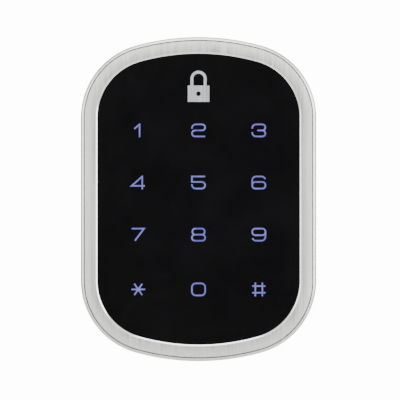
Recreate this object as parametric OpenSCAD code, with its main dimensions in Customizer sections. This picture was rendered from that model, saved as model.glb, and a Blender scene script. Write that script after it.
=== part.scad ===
// Keypad smart lock for a bored door. A touch keypad unit sits outside, a motor and battery
// unit sits inside, and two bolts, a torque blade and a lead join them through the door.
// The origin is the centre of the door's bore, on the door's outside face.
// +X is to the right for someone standing outside, +Y goes in through the door, +Z is up.

/* [Face] */
// Width of the keypad unit
face_w = 81; // [78:0.1:98]
// Height of the keypad unit
face_h = 111.5; // [110:0.1:134]
// Radius of the four corners
corner_r = 25.7; // [22:0.1:30]
// Radius of the long arcs across the top and the bottom
end_r = 80.6; // [75:0.1:110]
// How far the middle of the unit is above the bore
unit_lift = 17; // [16.5:0.1:18]

/* [Door] */
// Thickness of the door
door_t = 40; // [35:0.5:48]
// Bore through the door
bore_d = 54; // [54:0.1:57]
// Distance between the two through bolts
bolt_pitch = 38; // [37:0.1:38.4]
// Shank of a through bolt
bolt_d = 5; // [4:0.1:6]

/* [Keypad unit] */
// Depth from the front of the frame to the door
out_depth = 21; // [20:0.1:26]
// Side wall of the metal frame
frame_wall = 2.4; // [2:0.1:3]
// Width of the frame's front face, seen from outside
lip_w = 5.8; // [5:0.1:7]
// Thickness of the frame's front face
lip_t = 2.6; // [2:0.1:3.2]
// Rounding of the frame's outer front edge
shoulder = 1.4; // [0.6:0.1:1.8]
// How far the panel lies behind the frame's front
panel_drop = 0.5; // [0.3:0.1:1]
// Thickness of the panel's hidden flange
flange_t = 1.4; // [1:0.1:2]
// Thickness of the seal in front of the flange
seal_t = 0.6; // [0.4:0.1:1]
// Thickness of the light guide block
guide_t = 2.7; // [2.2:0.1:3.5]
// Thickness of both circuit boards
board_t = 1.6; // [1:0.1:2]
// Thickness of the cast back plate
plate_t = 2; // [1.8:0.1:2.4]
// Thickness of the rubber gasket against the door
gasket_t = 1.5; // [1:0.1:2]
// Outer diameter of the spigot that enters the bore
spigot_d = 52.6; // [51.8:0.1:53]
// How far the spigot enters the door
spigot_len = 6; // [4:0.5:10]

/* [Key legends] */
// Width of one legend
digit_w = 5.1; // [4:0.1:7]
// Height of one legend
digit_h = 4.7; // [4:0.1:7]
// Width of the drawn line
digit_line = 0.55; // [0.45:0.05:0.8]
// Depth of a legend in the panel
digit_depth = 0.5; // [0.3:0.1:0.8]
// Distance between columns
column_pitch = 20.7; // [18:0.1:23]
// Distance between the three rows of figures
row_pitch = 17.9; // [15:0.1:19]
// Distance from the last row of figures to the row with the nought
last_row_pitch = 18.8; // [15:0.1:19]
// Height of the top row above the middle of the unit
top_row_z = 23.6; // [20:0.1:26]
// Height of the padlock sign above the middle of the unit
emblem_z = 39; // [36:0.5:40]

/* [Inside unit] */
// Depth of the inside unit from the door
in_depth = 38; // [38:0.1:44]
// How much smaller the inside unit is than the keypad unit, all round
in_inset = 1; // [0.5:0.1:2]
// Wall of the inside housing
in_wall = 2.2; // [1.8:0.1:2.4]
// Rounding of the inside unit's front edge
in_round = 3; // [1:0.1:4]
// Top edge of the housing's closed front, above the bore
cover_z = 28.2; // [28:0.1:29]
// Diameter of one battery
cell_d = 14.5; // [13.5:0.1:14.6]
// Length of one battery with its cap
cell_len = 50.5; // [48:0.1:50.7]

/* [Drive] */
// Gear module
gear_m = 0.8; // [0.76:0.01:0.8]
// Teeth of the gear on the spindle
output_teeth = 36; // [32:1:36]
// Teeth of the idler's large gear
large_teeth = 30; // [28:1:30]
// Teeth of the idler's small gear and of the motor pinion
small_teeth = 12; // [12:1:14]
// Diameter of the spindle
spindle_d = 12; // [11.8:0.1:12.6]
// Diameter of the motor
motor_d = 16; // [12:0.1:16.5]
// Length of the motor's can
motor_len = 19; // [14:0.5:20]
// Width of the torque blade
blade_w = 6.5; // [5:0.1:7]
// Thickness of the torque blade
blade_t = 2.6; // [2:0.1:3]

/* [Thumb turn and button] */
// Length of the thumb turn's grip
grip_len = 38; // [30:1:40]
// Thickness of the thumb turn's grip
grip_t = 9; // [7:0.5:12]
// How far the thumb turn stands out of the housing
grip_h = 16; // [14:0.5:22]
// Diameter of the thumb turn's round base
hub_d = 30; // [24:1:32]
// Diameter of the privacy button
button_d = 8; // [6:0.1:9]
// Travel of the privacy button
button_travel = 0.8; // [0.4:0.1:1]
// Height of the privacy button above the bore, which is below it
button_z = -27; // [-28:0.5:-25]

/* [Hidden] */
$fn = 48;

// Clearances: between parts that slide together, around parts that are dropped in, and
// on the radius of a screw in its drawn thread
slide_gap = 0.3;
fit_gap = 0.15;
thread_gap = 0.05;
// How far a cutting shape runs past what it cuts
cut = 1;

// Outline: a corner arc at each corner and a long arc across each end, tangent where they meet
half_w = face_w / 2;
half_h = face_h / 2;
corner_x = half_w - corner_r;
end_z = half_h - end_r;
corner_z = end_z + sqrt(pow(end_r - corner_r, 2) - pow(corner_x, 2));
turn = atan2(corner_z - end_z, corner_x);
corner_steps = 9;
end_steps = 8;
round_steps = 3;

// Depths of the keypad unit's layers, from its front to the door
front_y = -out_depth;
panel_y = front_y + panel_drop;
lip_y = front_y + lip_t;
flange_y = lip_y + seal_t;
panel_back_y = flange_y + flange_t;
film_t = 0.3;
film_y = panel_back_y + film_t;
diffuser_t = 0.5;
diffuser_y = film_y + diffuser_t;
guide_y = diffuser_y + guide_t;
board_y = guide_y + board_t;
plate_back_y = -gasket_t;
plate_y = plate_back_y - plate_t;
rim_y = -0.8;

// Insets of the keypad unit's pieces from the outline
body_inset = frame_wall + fit_gap;
chassis_wall = 2;
stack_inset = body_inset + chassis_wall + slide_gap;
shelf_w = 3.4;
guide_inset = stack_inset + shelf_w;
seal_w = 2.6;
gasket_inset = 3;
gasket_relief = 1;

// Screws that hold the back plate to the frame
plate_screw_d = 3;
plate_screw_len = 7.5;
boss_d = 7.2;
boss_len = 7;
boss_x = half_w - frame_wall - boss_d / 2 + 0.4;
boss_z = 12;
plate_screw_at = [for (x = [-1, 1], z = [-1, 1]) [x * boss_x, unit_lift + z * boss_z]];

// Screws that hold the keypad board to its chassis
small_screw_d = 2;
board_screw_x = half_w - stack_inset - shelf_w / 2;
board_screw_z = 25;
board_screw_at = [for (x = [-1, 1], z = [-1, 1]) [x * board_screw_x, unit_lift + z * board_screw_z]];

// Middle of each key, row by row
row_z = [top_row_z, top_row_z - row_pitch, top_row_z - 2 * row_pitch,
         top_row_z - 2 * row_pitch - last_row_pitch];
key_at = [for (row = [0:3], column = [-1:1]) [column * column_pitch, unit_lift + row_z[row]]];
light_cell_d = 10;
led_w = 3.2;
led_h = 2.8;
led_t = 1;

// Back plate: spigot, bolt posts, bush boss
spigot_wall = 2.5;
post_d = 10;
post_y = 7;
shaft_start_y = plate_y + 1.5;
bolt_x = bolt_pitch / 2;
bush_d = 10;
bush_boss_d = 15;
bush_boss_y = 2;
bush_flange_d = 14;
bush_flange_t = 1.5;
blade_bore_d = norm([blade_w, blade_t]) + 0.4;
blade_passage_d = blade_bore_d + 4;

// Lead between the two boards, and where it passes the plates
cable_d = 3.2;
cable_z = 19.3;
lead_passage_d = cable_d + 2.8;
grommet_bore_d = 4.4;
grommet_d = 7;
grommet_lip = 0.5;
grommet_lip_t = 0.8;
lead_sides = 10;
lead_route = [
  [0, -8.8, 30], [0, -8.8, 27], [0, -8.5, 24.5], [0, -7.4, 22.1], [0, -5.6, 20.4],
  [0, -3.4, 19.5], [0, 0, 19.3], [0, 7, 19.3], [0, 14, 19.3], [0, 21, 19.3],
  [0, 28, 19.3], [0, 35, 19.3], [0, 42, 19.3], [0, 47, 19.4], [0, 50, 20],
  [0, 52.5, 21.4], [0, 54.5, 22.4], [0, 56.5, 22.7], [0, 58, 22.7]
];
keypad_connector_z = 33;
connector_h = 6;

// Terminals for a spare battery, in the bottom wall of the frame
bottom_z = unit_lift - half_h;
terminal_pitch = 12.7;
terminal_d = 5;
terminal_y = -7.3;
insulator_w = 22;
insulator_t = 6;
insulator_flange = 2;
insulator_drop = 1.15;
insulator_flange_t = 1.4;
flange_z = bottom_z + frame_wall + 1.2;
flange_front = 0.7;
stud_head_t = 1.5;
stud_proud = 0.7;
stud_len = 6.5;
stud_stem_d = 2;

// Depths of the inside unit, from the door to its front
in_y = door_t;
in_plate_t = 2;
in_plate_y = in_y + in_plate_t;
chassis_y = in_plate_y + 2;
in_front_y = in_y + in_depth;
in_skin_y = in_front_y - in_wall;
cover_t = 1.9;
rim_top_y = in_front_y - 4.8;
cavity_inset = in_inset + in_wall;
in_plate_inset = cavity_inset + slide_gap;
bolt_head_d = 9;
bolt_head_t = 3;
cross_len = 5.4;
cross_w = 1.2;
cross_depth = 1.4;

// Gearbox, from its floor outwards
box_foot = 1.5;
box_floor_t = 2;
box_y = chassis_y + box_foot;
gear_a_y = box_y + box_floor_t + 0.5;
gear_a_t = 4;
gear_b_y = gear_a_y + gear_a_t + 0.5;
gear_b_t = 5.5;
lid_y = gear_b_y + gear_b_t + 0.5;
lid_t = 1.5;
main_board_y = lid_y + lid_t + 2;
main_board_back_y = main_board_y + board_t;
box_wall = 1.3;
gear_room = 0.5;
blade_grip = 3;

// Gear sizes: a 25 degree rack with a slightly short tooth
pressure = 25;
addendum = 0.9 * gear_m;
dedendum = 1.15 * gear_m;
backlash = 0.16;
output_r = output_teeth * gear_m / 2;
large_r = large_teeth * gear_m / 2;
small_r = small_teeth * gear_m / 2;
idler_x = -(output_r + small_r);
motor_z = -(large_r + small_r);
idler_pin_d = 2.5;
running_gap = 0.05;
collar_y = lid_y + 9;
collar_wall = 1.2;
motor_y = gear_b_y + 1;
motor_shaft_d = 3;

// Gearbox screws stand beside the two gears
lug_d = 6;
box_screw_d = 2.5;
lug_reach = output_r + addendum + gear_room + lug_d / 2 + 0.8;
lug_at = [
  [lug_reach * cos(45), lug_reach * sin(45)],
  [lug_reach * cos(45), -lug_reach * sin(45)],
  [idler_x, large_r + addendum + gear_room + lug_d / 2 + 0.8]
];

// Posts and screws of the main board
board_post_d = 6;
board_screw_len = 8;
board_inset = in_plate_inset + 1.3;
post_at = [
  [half_w - 10.5, cover_z - 7.4],
  [10.5 - half_w, cover_z - 7.4],
  [10, bottom_z + 10.3],
  [-10, bottom_z + 10.3]
];
board_top_z = cover_z - 2.2;

// Bosses that join the housing to its chassis
joint_boss_d = 6;
joint_hole_len = 9;
side_boss_x = half_w - cavity_inset - joint_boss_d / 2 + 0.3;
side_boss_z = 10;
top_boss_x = 12;
top_boss_z = unit_lift + end_z + sqrt(pow(end_r - cavity_inset, 2) - pow(top_boss_x, 2)) - 2.9;
joint_boss_at = [
  [side_boss_x, side_boss_z], [-side_boss_x, side_boss_z],
  [top_boss_x, top_boss_z], [-top_boss_x, top_boss_z]
];

// Long screws that hold the inside unit to its plate
unit_screw_d = 4;
unit_tube_d = 8;
unit_tube_x = half_w - cavity_inset - unit_tube_d / 2 + 0.2;
unit_tube_z = cover_z + 4.8;
unit_tube_y = rim_top_y - 2.7;

// Rails for the battery cover's tongues
rail_z = unit_tube_z + unit_tube_d / 2 + 1;
rail_len = 7;
tongue_reach = 1.6;
tongue_t = 0.8;
partition_t = 1.4;

// Battery tray: two rows of two cells
tray_wall = 1.2;
cell_gap = 0.6;
cell_room = 0.7;
contact_t = 0.5;
contact_w = 12;
spring_len = 3.5;
tray_in_x = (cell_len + spring_len) / 2 + contact_t;
tray_z = cover_z + slide_gap;
tray_in_h = 2 * cell_d + cell_room + 2 * cell_gap;
cell_low_z = tray_z + tray_wall + cell_gap + cell_d / 2;
cell_back_y = chassis_y + tray_wall + slide_gap + cell_d / 2;
cell_layer = cell_d + 0.5;
tray_end_y = cell_back_y + cell_layer + cell_d / 2 - 1;
tray_side_y = cell_back_y + cell_d;
cell_cap_d = 5.5;
cell_cap_len = 1.3;

// Thumb turn and privacy button
washer_t = 0.5;
turn_y = in_front_y + washer_t + slide_gap;
hub_t = 4.5;
square_w = 8;
square_len = 10;
set_screw_d = 3;
set_screw_key = 1.7;
set_screw_rest = 1;
grip_round = 1.5;
spindle_y = chassis_y + 0.5;
shoulder_y = in_front_y + 0.2;
button_proud = 1.2;
button_flange = 1.3;
button_flange_t = 1.3;
button_stem_d = 3;
switch_w = 6;
switch_t = 1.6;
switch_knob_t = 1.2;
switch_knob_d = 3.4;
button_wall = 1.1;
button_guide_len = 7;

// ---- Shapes that many pieces use ----

// A profile drawn in x and z, standing from depth y0 to depth y1
module slab(y0, y1) {
  translate([0, y1, 0]) rotate([90, 0, 0]) linear_extrude(y1 - y0) children();
}

// A round bar along y, from depth y0 to depth y1
module rod(d, y0, y1, x = 0, z = 0) {
  translate([x, y1, z]) rotate([90, 0, 0]) cylinder(d = d, h = y1 - y0);
}

// A block w wide and h high about x, z, from depth y0 to depth y1
module block(w, h, y0, y1, x = 0, z = 0) {
  translate([x - w / 2, y0, z - h / 2]) cube([w, y1 - y0, h]);
}

// A screw with a flat countersunk head at depth y_head, pointing towards the front
module countersunk(d, y_head, len, x, z) {
  head_t = d / 2;
  rod(d, y_head - len, y_head, x, z);
  translate([x, y_head, z]) rotate([90, 0, 0]) cylinder(d1 = 2 * d, d2 = d, h = head_t);
}

// A pan head screw: its head stands out from depth y_seat, its shank runs the other way
module pan_screw(d, y_seat, len, side, x, z) {
  head_d = 1.8 * d;
  head_t = 0.6 * d;
  translate([x, y_seat, z]) rotate([-90 * side, 0, 0]) cylinder(d = head_d, h = head_t);
  translate([x, y_seat, z]) rotate([90 * side, 0, 0]) cylinder(d = d, h = len);
}

function arc(x, z, r, from, to, steps, skip = 0) = [
  for (i = [skip:steps - skip]) let (a = from + (to - from) * i / steps)
    [x + r * cos(a), z + r * sin(a)]
];

// The face outline drawn in by inset, starting at the right-hand side
function outline_points(inset) =
  let (rc = corner_r - inset, re = end_r - inset)
  concat(
    arc(corner_x, corner_z, rc, 0, turn, corner_steps),
    arc(0, end_z, re, turn, 180 - turn, end_steps, 1),
    arc(-corner_x, corner_z, rc, 180 - turn, 180, corner_steps),
    arc(-corner_x, -corner_z, rc, 180, 180 + turn, corner_steps),
    arc(0, -end_z, re, 180 + turn, 360 - turn, end_steps, 1),
    arc(corner_x, -corner_z, rc, 360 - turn, 360, corner_steps)
  );

module outline(inset) {
  translate([0, unit_lift]) polygon(outline_points(inset));
}

// A body of the outline's shape, its front edge at y_front rounded by r
module rounded_body(y_front, y_back, inset, r) {
  way = y_back > y_front ? 1 : -1;
  hull() {
    slab(min(y_front + way * r, y_back), max(y_front + way * r, y_back)) outline(inset);
    for (i = [1:round_steps]) {
      a = 90 * i / round_steps;
      y = y_front + way * r * (1 - sin(a));
      slab(min(y, y + way * 0.01), max(y, y + way * 0.01)) outline(inset + r * (1 - cos(a)));
    }
  }
}

// A bent tube through points p, where side[i] is a direction square to the path at p[i]
module tube(p, side, d, sides) {
  last = len(p) - 1;
  function along(i) = p[min(i + 1, last)] - p[max(i - 1, 0)];
  function ring(i) =
    let (t = along(i) / norm(along(i)), v = cross(t, side[i]))
    [for (j = [0:sides - 1]) let (a = 360 * j / sides)
      p[i] + d / 2 * (cos(a) * side[i] + sin(a) * v)];
  points = [for (i = [0:last]) each ring(i)];
  walls = [for (i = [0:last - 1], j = [0:sides - 1]) let (k = (j + 1) % sides)
    [i * sides + j, (i + 1) * sides + j, (i + 1) * sides + k, i * sides + k]];
  start = [for (j = [0:sides - 1]) j];
  end = [for (j = [sides - 1:-1:0]) last * sides + j];
  polyhedron(points, concat(walls, [start, end]));
}

// ---- Key legends ----

legend_x = (digit_w - digit_line) / 2;
legend_z = (digit_h - digit_line) / 2;
lobe = legend_z / 2;
hook = 1.35;
bend_steps = 5;
overrun = 0.3;
six_bar = 0.2;
low_lobe = (legend_z + six_bar) / 2;

function bend(x, z, r, from, to) = arc(x, z, r, from, to, bend_steps);
function unit(v) = v / norm(v);

// The sideways step from point i of a path to the edge of its line
function line_edge(p, i) =
  let (
    before = i > 0 ? unit(p[i] - p[i - 1]) : unit(p[1] - p[0]),
    after = i < len(p) - 1 ? unit(p[i + 1] - p[i]) : before,
    middle = unit(before + after)
  )
  digit_line / 2 * [-middle[1], middle[0]] / (middle * before);

// A line of even width along a path
module line(p) {
  left = [for (i = [0:len(p) - 1]) p[i] + line_edge(p, i)];
  right = [for (i = [len(p) - 1:-1:0]) p[i] - line_edge(p, i)];
  polygon(concat(left, right));
}

// A closed loop of even width with round corners
module loop(half_x, z0, z1, r) {
  edge = digit_line / 2;
  difference() {
    round_box(half_x + edge, z0 - edge, z1 + edge, r + edge);
    round_box(half_x - edge, z0 + edge, z1 - edge, r - edge);
  }
}

module round_box(half_x, z0, z1, r) {
  x = half_x - r;
  polygon(concat(
    bend(x, z1 - r, r, 0, 90), bend(-x, z1 - r, r, 90, 180),
    bend(-x, z0 + r, r, 180, 270), bend(x, z0 + r, r, 270, 360)
  ));
}

module six() {
  line(concat(
    bend(legend_x - hook, legend_z - hook, hook, 20, 90),
    bend(hook - legend_x, legend_z - hook, hook, 90, 180),
    [[-legend_x, -legend_z / 2]]
  ));
  loop(legend_x, -legend_z, six_bar, low_lobe * 0.95);
}

// One key legend, centred: 1 to 9, then star, nought and hash
module legend(key) {
  w = legend_x;
  h = legend_z;
  if (key == 0) {
    line([[-0.6 * w, 0.25 * h], [0.2 * w, h]]);
    line([[0.2 * w, h + digit_line / 2], [0.2 * w, -h - digit_line / 2]]);
  }
  if (key == 1)
    line(concat(
      bend(hook - w, h - hook, hook, 185, 90), bend(w - lobe, lobe, lobe, 90, -90),
      bend(lobe - w, -lobe, lobe, 90, 270), [[w, -h]]
    ));
  if (key == 2) {
    line(concat(
      bend(hook - w, h - hook, hook, 185, 90), bend(w - lobe, lobe, lobe, 90, -90),
      [[-0.25 * w, 0]]
    ));
    line(concat(
      [[-0.25 * w, 0]], bend(w - lobe, -lobe, lobe, 90, -90),
      bend(hook - w, hook - h, hook, 270, 175)
    ));
  }
  if (key == 3) {
    line([[0.6 * w, h], [-w, -0.55 * h], [w, -0.55 * h]]);
    line([[0.6 * w, h + digit_line / 2], [0.6 * w, -h - digit_line / 2]]);
  }
  if (key == 4)
    line(concat(
      [[w, h], [-w, h], [-w, six_bar]], bend(w - low_lobe, six_bar - low_lobe, low_lobe, 90, -90),
      bend(hook - w, hook - h, hook, 270, 175)
    ));
  if (key == 5) six();
  if (key == 6) line([[-w, h], [w - overrun, h], [-0.5 * w, -h]]);
  if (key == 7) {
    loop(0.93 * w, 0, h, lobe * 0.95);
    loop(w, -h, 0, lobe * 0.95);
  }
  if (key == 8) rotate(180) six();
  if (key == 9) {
    for (a = [0, 55, 125]) rotate(a) line([[-h - overrun, 0], [h + overrun, 0]]);
  }
  if (key == 10) loop(w, -h, h, hook);
  if (key == 11) {
    for (s = [-1, 1]) {
      line([[-w, s * 0.55 * h], [w, s * 0.55 * h]]);
      line([[s * 0.53 * w, -h - overrun], [s * 0.53 * w, h + overrun]]);
    }
  }
}

module legends() {
  for (key = [0:11]) translate(key_at[key]) legend(key);
}

// A plain padlock: a square body, a hoop and a round keyhole
sign_w = 7.4;
sign_h = 5.6;
keyhole_d = 1.6;
hoop_r = 2.3;
hoop_line = 1;
module padlock_profile() {
  translate([0, unit_lift + emblem_z]) {
    difference() {
      translate([0, -sign_h / 2]) square([sign_w, sign_h], center = true);
      translate([0, -sign_h / 2]) circle(d = keyhole_d);
    }
    difference() {
      translate([0, hoop_r / 2]) union() {
        translate([0, hoop_r / 2]) circle(hoop_r + hoop_line / 2);
        square([2 * hoop_r + hoop_line, hoop_r], center = true);
      }
      translate([0, hoop_r]) circle(hoop_r - hoop_line / 2);
      translate([0, hoop_r / 2]) square([2 * hoop_r - hoop_line, hoop_r], center = true);
    }
  }
}

// ---- Keypad unit ----

module gasket() {
  color("#2b2b2b") difference() {
    slab(-gasket_t, 0) outline(gasket_inset);
    rod(bore_d + 2 * gasket_relief, -gasket_t - cut, cut);
  }
}

module back_plate() {
  color("#8d9093") difference() {
    union() {
      slab(plate_y, plate_back_y) outline(body_inset);
      difference() {
        rod(spigot_d, plate_y, spigot_len);
        rod(spigot_d - 2 * spigot_wall, plate_back_y, spigot_len + cut);
      }
      for (s = [-1, 1]) rod(post_d, plate_y, post_y, s * bolt_x);
      rod(bush_boss_d, plate_y, bush_boss_y);
    }
    for (s = [-1, 1]) rod(bolt_d + 2 * thread_gap, plate_y + 1, post_y + cut, s * bolt_x);
    rod(bush_d + 2 * thread_gap, plate_y - cut, bush_boss_y + cut);
    rod(grommet_d, plate_y - cut, plate_back_y + cut, 0, cable_z);
    for (p = plate_screw_at)
      countersunk(plate_screw_d + 2 * thread_gap, plate_back_y, plate_t + cut, p[0], p[1]);
  }
}

module bezel_frame() {
  color("#b9b7b2") difference() {
    union() {
      difference() {
        rounded_body(front_y, rim_y, 0, shoulder);
        slab(lip_y, cut) outline(frame_wall);
      }
      for (p = plate_screw_at) rod(boss_d, plate_y - boss_len, plate_y, p[0], p[1]);
    }
    slab(front_y - cut, lip_y + cut) outline(lip_w);
    for (p = plate_screw_at)
      rod(plate_screw_d + 2 * thread_gap, plate_back_y - plate_screw_len - fit_gap, 0, p[0], p[1]);
    block(insulator_w + 2 * fit_gap, 8, terminal_y - insulator_t / 2 - fit_gap,
          terminal_y + insulator_t / 2 + fit_gap, 0, bottom_z);
  }
}

module panel_seal() {
  color("#202020") slab(lip_y, flange_y) difference() {
    outline(body_inset + 0.2);
    outline(body_inset + 0.2 + seal_w);
  }
}

module touch_panel() {
  color("#0b0b0d") difference() {
    union() {
      slab(panel_y, panel_back_y) outline(lip_w + fit_gap);
      slab(flange_y, panel_back_y) outline(body_inset);
    }
    slab(panel_y - cut, panel_y + digit_depth) legends();
    slab(panel_y - cut, panel_y + digit_depth) padlock_profile();
  }
}

module digit_windows() {
  color("#9a9ae0") slab(panel_y, panel_y + digit_depth) legends();
}

module padlock_sign() {
  color("#c9cacc") slab(panel_y, panel_y + digit_depth) padlock_profile();
}

module touch_sensor_film() {
  color("#c8a24a") slab(panel_back_y, film_y) outline(stack_inset);
}

module diffuser_sheet() {
  color("#f2f2f2") slab(film_y, diffuser_y) outline(stack_inset);
}

module light_guide() {
  color("#e8e8e4") difference() {
    slab(diffuser_y, guide_y) outline(guide_inset + fit_gap);
    for (p = key_at) rod(light_cell_d, diffuser_y - cut, guide_y + cut, p[0], p[1]);
  }
}

module keypad_chassis() {
  room = 2 * slide_gap;
  color("#1c1c1c") difference() {
    union() {
      slab(panel_back_y, plate_y) difference() {
        outline(body_inset);
        outline(body_inset + chassis_wall);
      }
      slab(diffuser_y, guide_y) difference() {
        outline(body_inset + chassis_wall - 0.5);
        outline(guide_inset);
      }
    }
    for (p = plate_screw_at)
      rod(boss_d + room, plate_y - boss_len - slide_gap, plate_y + cut, p[0], p[1]);
    for (p = board_screw_at)
      rod(small_screw_d + 2 * thread_gap, diffuser_y - cut, guide_y + cut, p[0], p[1]);
    block(insulator_w + 2 * insulator_flange + room, 12,
          terminal_y - insulator_t / 2 - slide_gap - flange_front, plate_y + cut, 0, bottom_z);
  }
}

module keypad_board() {
  color("#1f5a34") difference() {
    slab(guide_y, board_y) outline(stack_inset);
    for (p = board_screw_at) rod(small_screw_d + fit_gap, guide_y - cut, board_y + cut, p[0], p[1]);
  }
}

module keypad_leds() {
  color("#dfe3ff") for (p = key_at) block(led_w, led_h, guide_y - led_t, guide_y, p[0], p[1]);
}

module keypad_chips() {
  color("#26262a") {
    block(8, 8, board_y, board_y + 1, -14, unit_lift + 24);
    block(5, 6, board_y, board_y + 1.2, 13, unit_lift + 10);
    block(4, 5, board_y, board_y + 1, 15, unit_lift - 10);
    for (i = [0:5]) block(1.2, 2, board_y, board_y + 0.8, -22 + 3 * i, unit_lift + 14);
    for (i = [0:5]) block(1.2, 2, board_y, board_y + 0.8, -8 + 3 * i, unit_lift - 36);
  }
}

module buzzer() {
  x = 16;
  z = unit_lift + 26;
  buzzer_d = 12;
  buzzer_t = 3;
  color("#151515") difference() {
    rod(buzzer_d, board_y, board_y + buzzer_t, x, z);
    rod(2, board_y + buzzer_t - 1, board_y + buzzer_t + cut, x, z);
  }
}

module keypad_connector() {
  color("#efeadc")
    block(9, connector_h, board_y, board_y + 5, 0, keypad_connector_z);
}

module keypad_board_screws() {
  color("#b0b2b5")
    for (p = board_screw_at) pan_screw(small_screw_d, board_y, guide_t + board_t - 0.4, 1, p[0], p[1]);
}

module plate_screws() {
  color("#b0b2b5")
    for (p = plate_screw_at) countersunk(plate_screw_d, plate_back_y, plate_screw_len, p[0], p[1]);
}

module blade_bush() {
  color("#e9e4d2") difference() {
    union() {
      rod(bush_d, plate_y, bush_boss_y + bush_flange_t);
      rod(bush_flange_d, bush_boss_y, bush_boss_y + bush_flange_t);
    }
    rod(blade_bore_d, plate_y + 1, bush_boss_y + bush_flange_t + cut);
  }
}

module cable_grommet() {
  color("#181818") difference() {
    union() {
      rod(grommet_d + 2 * grommet_lip, plate_y - grommet_lip_t, plate_y, 0, cable_z);
      rod(grommet_d, plate_y - grommet_lip_t / 2, plate_back_y + grommet_lip_t / 2, 0, cable_z);
      rod(grommet_d + 2 * grommet_lip, plate_back_y, plate_back_y + grommet_lip_t, 0, cable_z);
    }
    rod(grommet_bore_d, plate_y - cut - 1, plate_back_y + cut + 1, 0, cable_z);
  }
}

module terminal_insulator() {
  color("#161616") difference() {
    union() {
      block(insulator_w, flange_z + insulator_flange_t - bottom_z - insulator_drop,
            terminal_y - insulator_t / 2, terminal_y + insulator_t / 2, 0,
            (flange_z + insulator_flange_t + bottom_z + insulator_drop) / 2);
      block(insulator_w + 2 * insulator_flange, insulator_flange_t,
            terminal_y - insulator_t / 2 - flange_front, terminal_y + insulator_t / 2 + 0.4,
            0, flange_z + insulator_flange_t / 2);
    }
    terminal_pair(0);
  }
}

// The two studs: a wide contact face below, and a stem through the insulator
module terminal_pair(gap) {
  for (s = [-1, 1]) translate([s * terminal_pitch / 2, terminal_y, bottom_z + insulator_drop - stud_proud]) {
    cylinder(d = terminal_d + gap, h = stud_head_t);
    cylinder(d = stud_stem_d + gap, h = stud_len);
  }
}

module terminal_studs() {
  color("#c7b173") terminal_pair(0);
}

// ---- Through the door ----

module through_bolts() {
  color("#a9abad") for (s = [-1, 1]) {
    rod(bolt_d, shaft_start_y, in_plate_y, s * bolt_x);
    difference() {
      rod(bolt_head_d, in_plate_y, in_plate_y + bolt_head_t, s * bolt_x);
      for (size = [[cross_len, cross_w], [cross_w, cross_len]])
        block(size[0], size[1], in_plate_y + bolt_head_t - cross_depth, in_plate_y + bolt_head_t + cut,
              s * bolt_x);
    }
  }
}

module lead_cable() {
  color("#2a2a2e") tube(lead_route, [for (p = lead_route) [1, 0, 0]], cable_d, lead_sides);
}

module torque_blade() {
  color("#b3b0a6") block(blade_t, blade_w, shaft_start_y, gear_b_y + blade_grip);
}

// ---- Inside unit ----

module inside_plate() {
  color("#8f9296") difference() {
    slab(in_y, in_plate_y) outline(in_plate_inset);
    for (s = [-1, 1]) rod(bolt_d + slide_gap, in_y - cut, in_plate_y + cut, s * bolt_x);
    rod(blade_passage_d, in_y - cut, in_plate_y + cut);
    rod(lead_passage_d, in_y - cut, in_plate_y + cut, 0, cable_z);
    for (s = [-1, 1])
      rod(unit_screw_d + 2 * thread_gap, in_y - cut, in_plate_y + cut, s * unit_tube_x, unit_tube_z);
  }
}

module inside_chassis() {
  color("#1e1f21") difference() {
    union() {
      slab(in_plate_y, chassis_y) outline(in_plate_inset);
      for (p = post_at) rod(board_post_d, in_plate_y, main_board_y, p[0], p[1]);
    }
    for (s = [-1, 1]) rod(bolt_head_d + 2 * slide_gap, in_plate_y - cut, chassis_y + cut, s * bolt_x);
    rod(blade_passage_d, in_plate_y - cut, chassis_y + cut);
    rod(lead_passage_d, in_plate_y - cut, chassis_y + cut, 0, cable_z);
    for (s = [-1, 1])
      rod(unit_screw_d + slide_gap, in_plate_y - cut, chassis_y + cut, s * unit_tube_x, unit_tube_z);
    for (p = post_at)
      rod(box_screw_d + 2 * thread_gap, main_board_y - board_screw_len, main_board_y + cut, p[0], p[1]);
    for (p = lug_at)
      rod(box_screw_d + 2 * thread_gap, in_plate_y - cut, chassis_y + cut, p[0], p[1]);
    for (p = joint_boss_at) mirror([0, 1, 0])
      countersunk(box_screw_d + 2 * thread_gap, -in_plate_y, 2 + cut, p[0], p[1]);
  }
}

// The outer form of the inside unit, which the housing and the battery cover share
module inside_form() {
  rounded_body(in_front_y, in_y + slide_gap, in_inset, in_round);
}

module inside_housing() {
  guide_d = button_d + 2 * button_flange + 2 * fit_gap;
  color("#bab8b3") difference() {
    union() {
      difference() {
        inside_form();
        slab(in_y - cut, in_skin_y) outline(cavity_inset);
        translate([-face_w, rim_top_y, cover_z]) cube([2 * face_w, in_depth, face_h]);
      }
      intersection() {
        block(face_w, partition_t, chassis_y + slide_gap, in_skin_y + 0.1, 0, cover_z - partition_t / 2);
        slab(in_y, in_front_y) outline(cavity_inset - 0.2);
      }
      for (p = joint_boss_at)
        rod(joint_boss_d, chassis_y, p[1] > cover_z ? rim_top_y - 4 : in_skin_y + 0.1, p[0], p[1]);
      for (s = [-1, 1]) {
        rod(unit_tube_d, chassis_y, unit_tube_y, s * unit_tube_x, unit_tube_z);
        cover_rail(s);
      }
      rod(guide_d + 2 * button_wall, in_skin_y - button_guide_len, in_skin_y + 0.1, 0, button_z);
    }
    rod(spindle_d + 2 * slide_gap, in_skin_y - cut, in_front_y + cut);
    rod(button_d + 2 * fit_gap, in_skin_y - cut, in_front_y + cut, 0, button_z);
    rod(guide_d, in_skin_y - button_guide_len - cut, in_skin_y, 0, button_z);
    for (p = joint_boss_at)
      rod(box_screw_d + 2 * thread_gap, chassis_y - cut, chassis_y + joint_hole_len, p[0], p[1]);
    for (s = [-1, 1])
      rod(unit_screw_d + slide_gap, chassis_y - cut, unit_tube_y + cut, s * unit_tube_x, unit_tube_z);
  }
}

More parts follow.
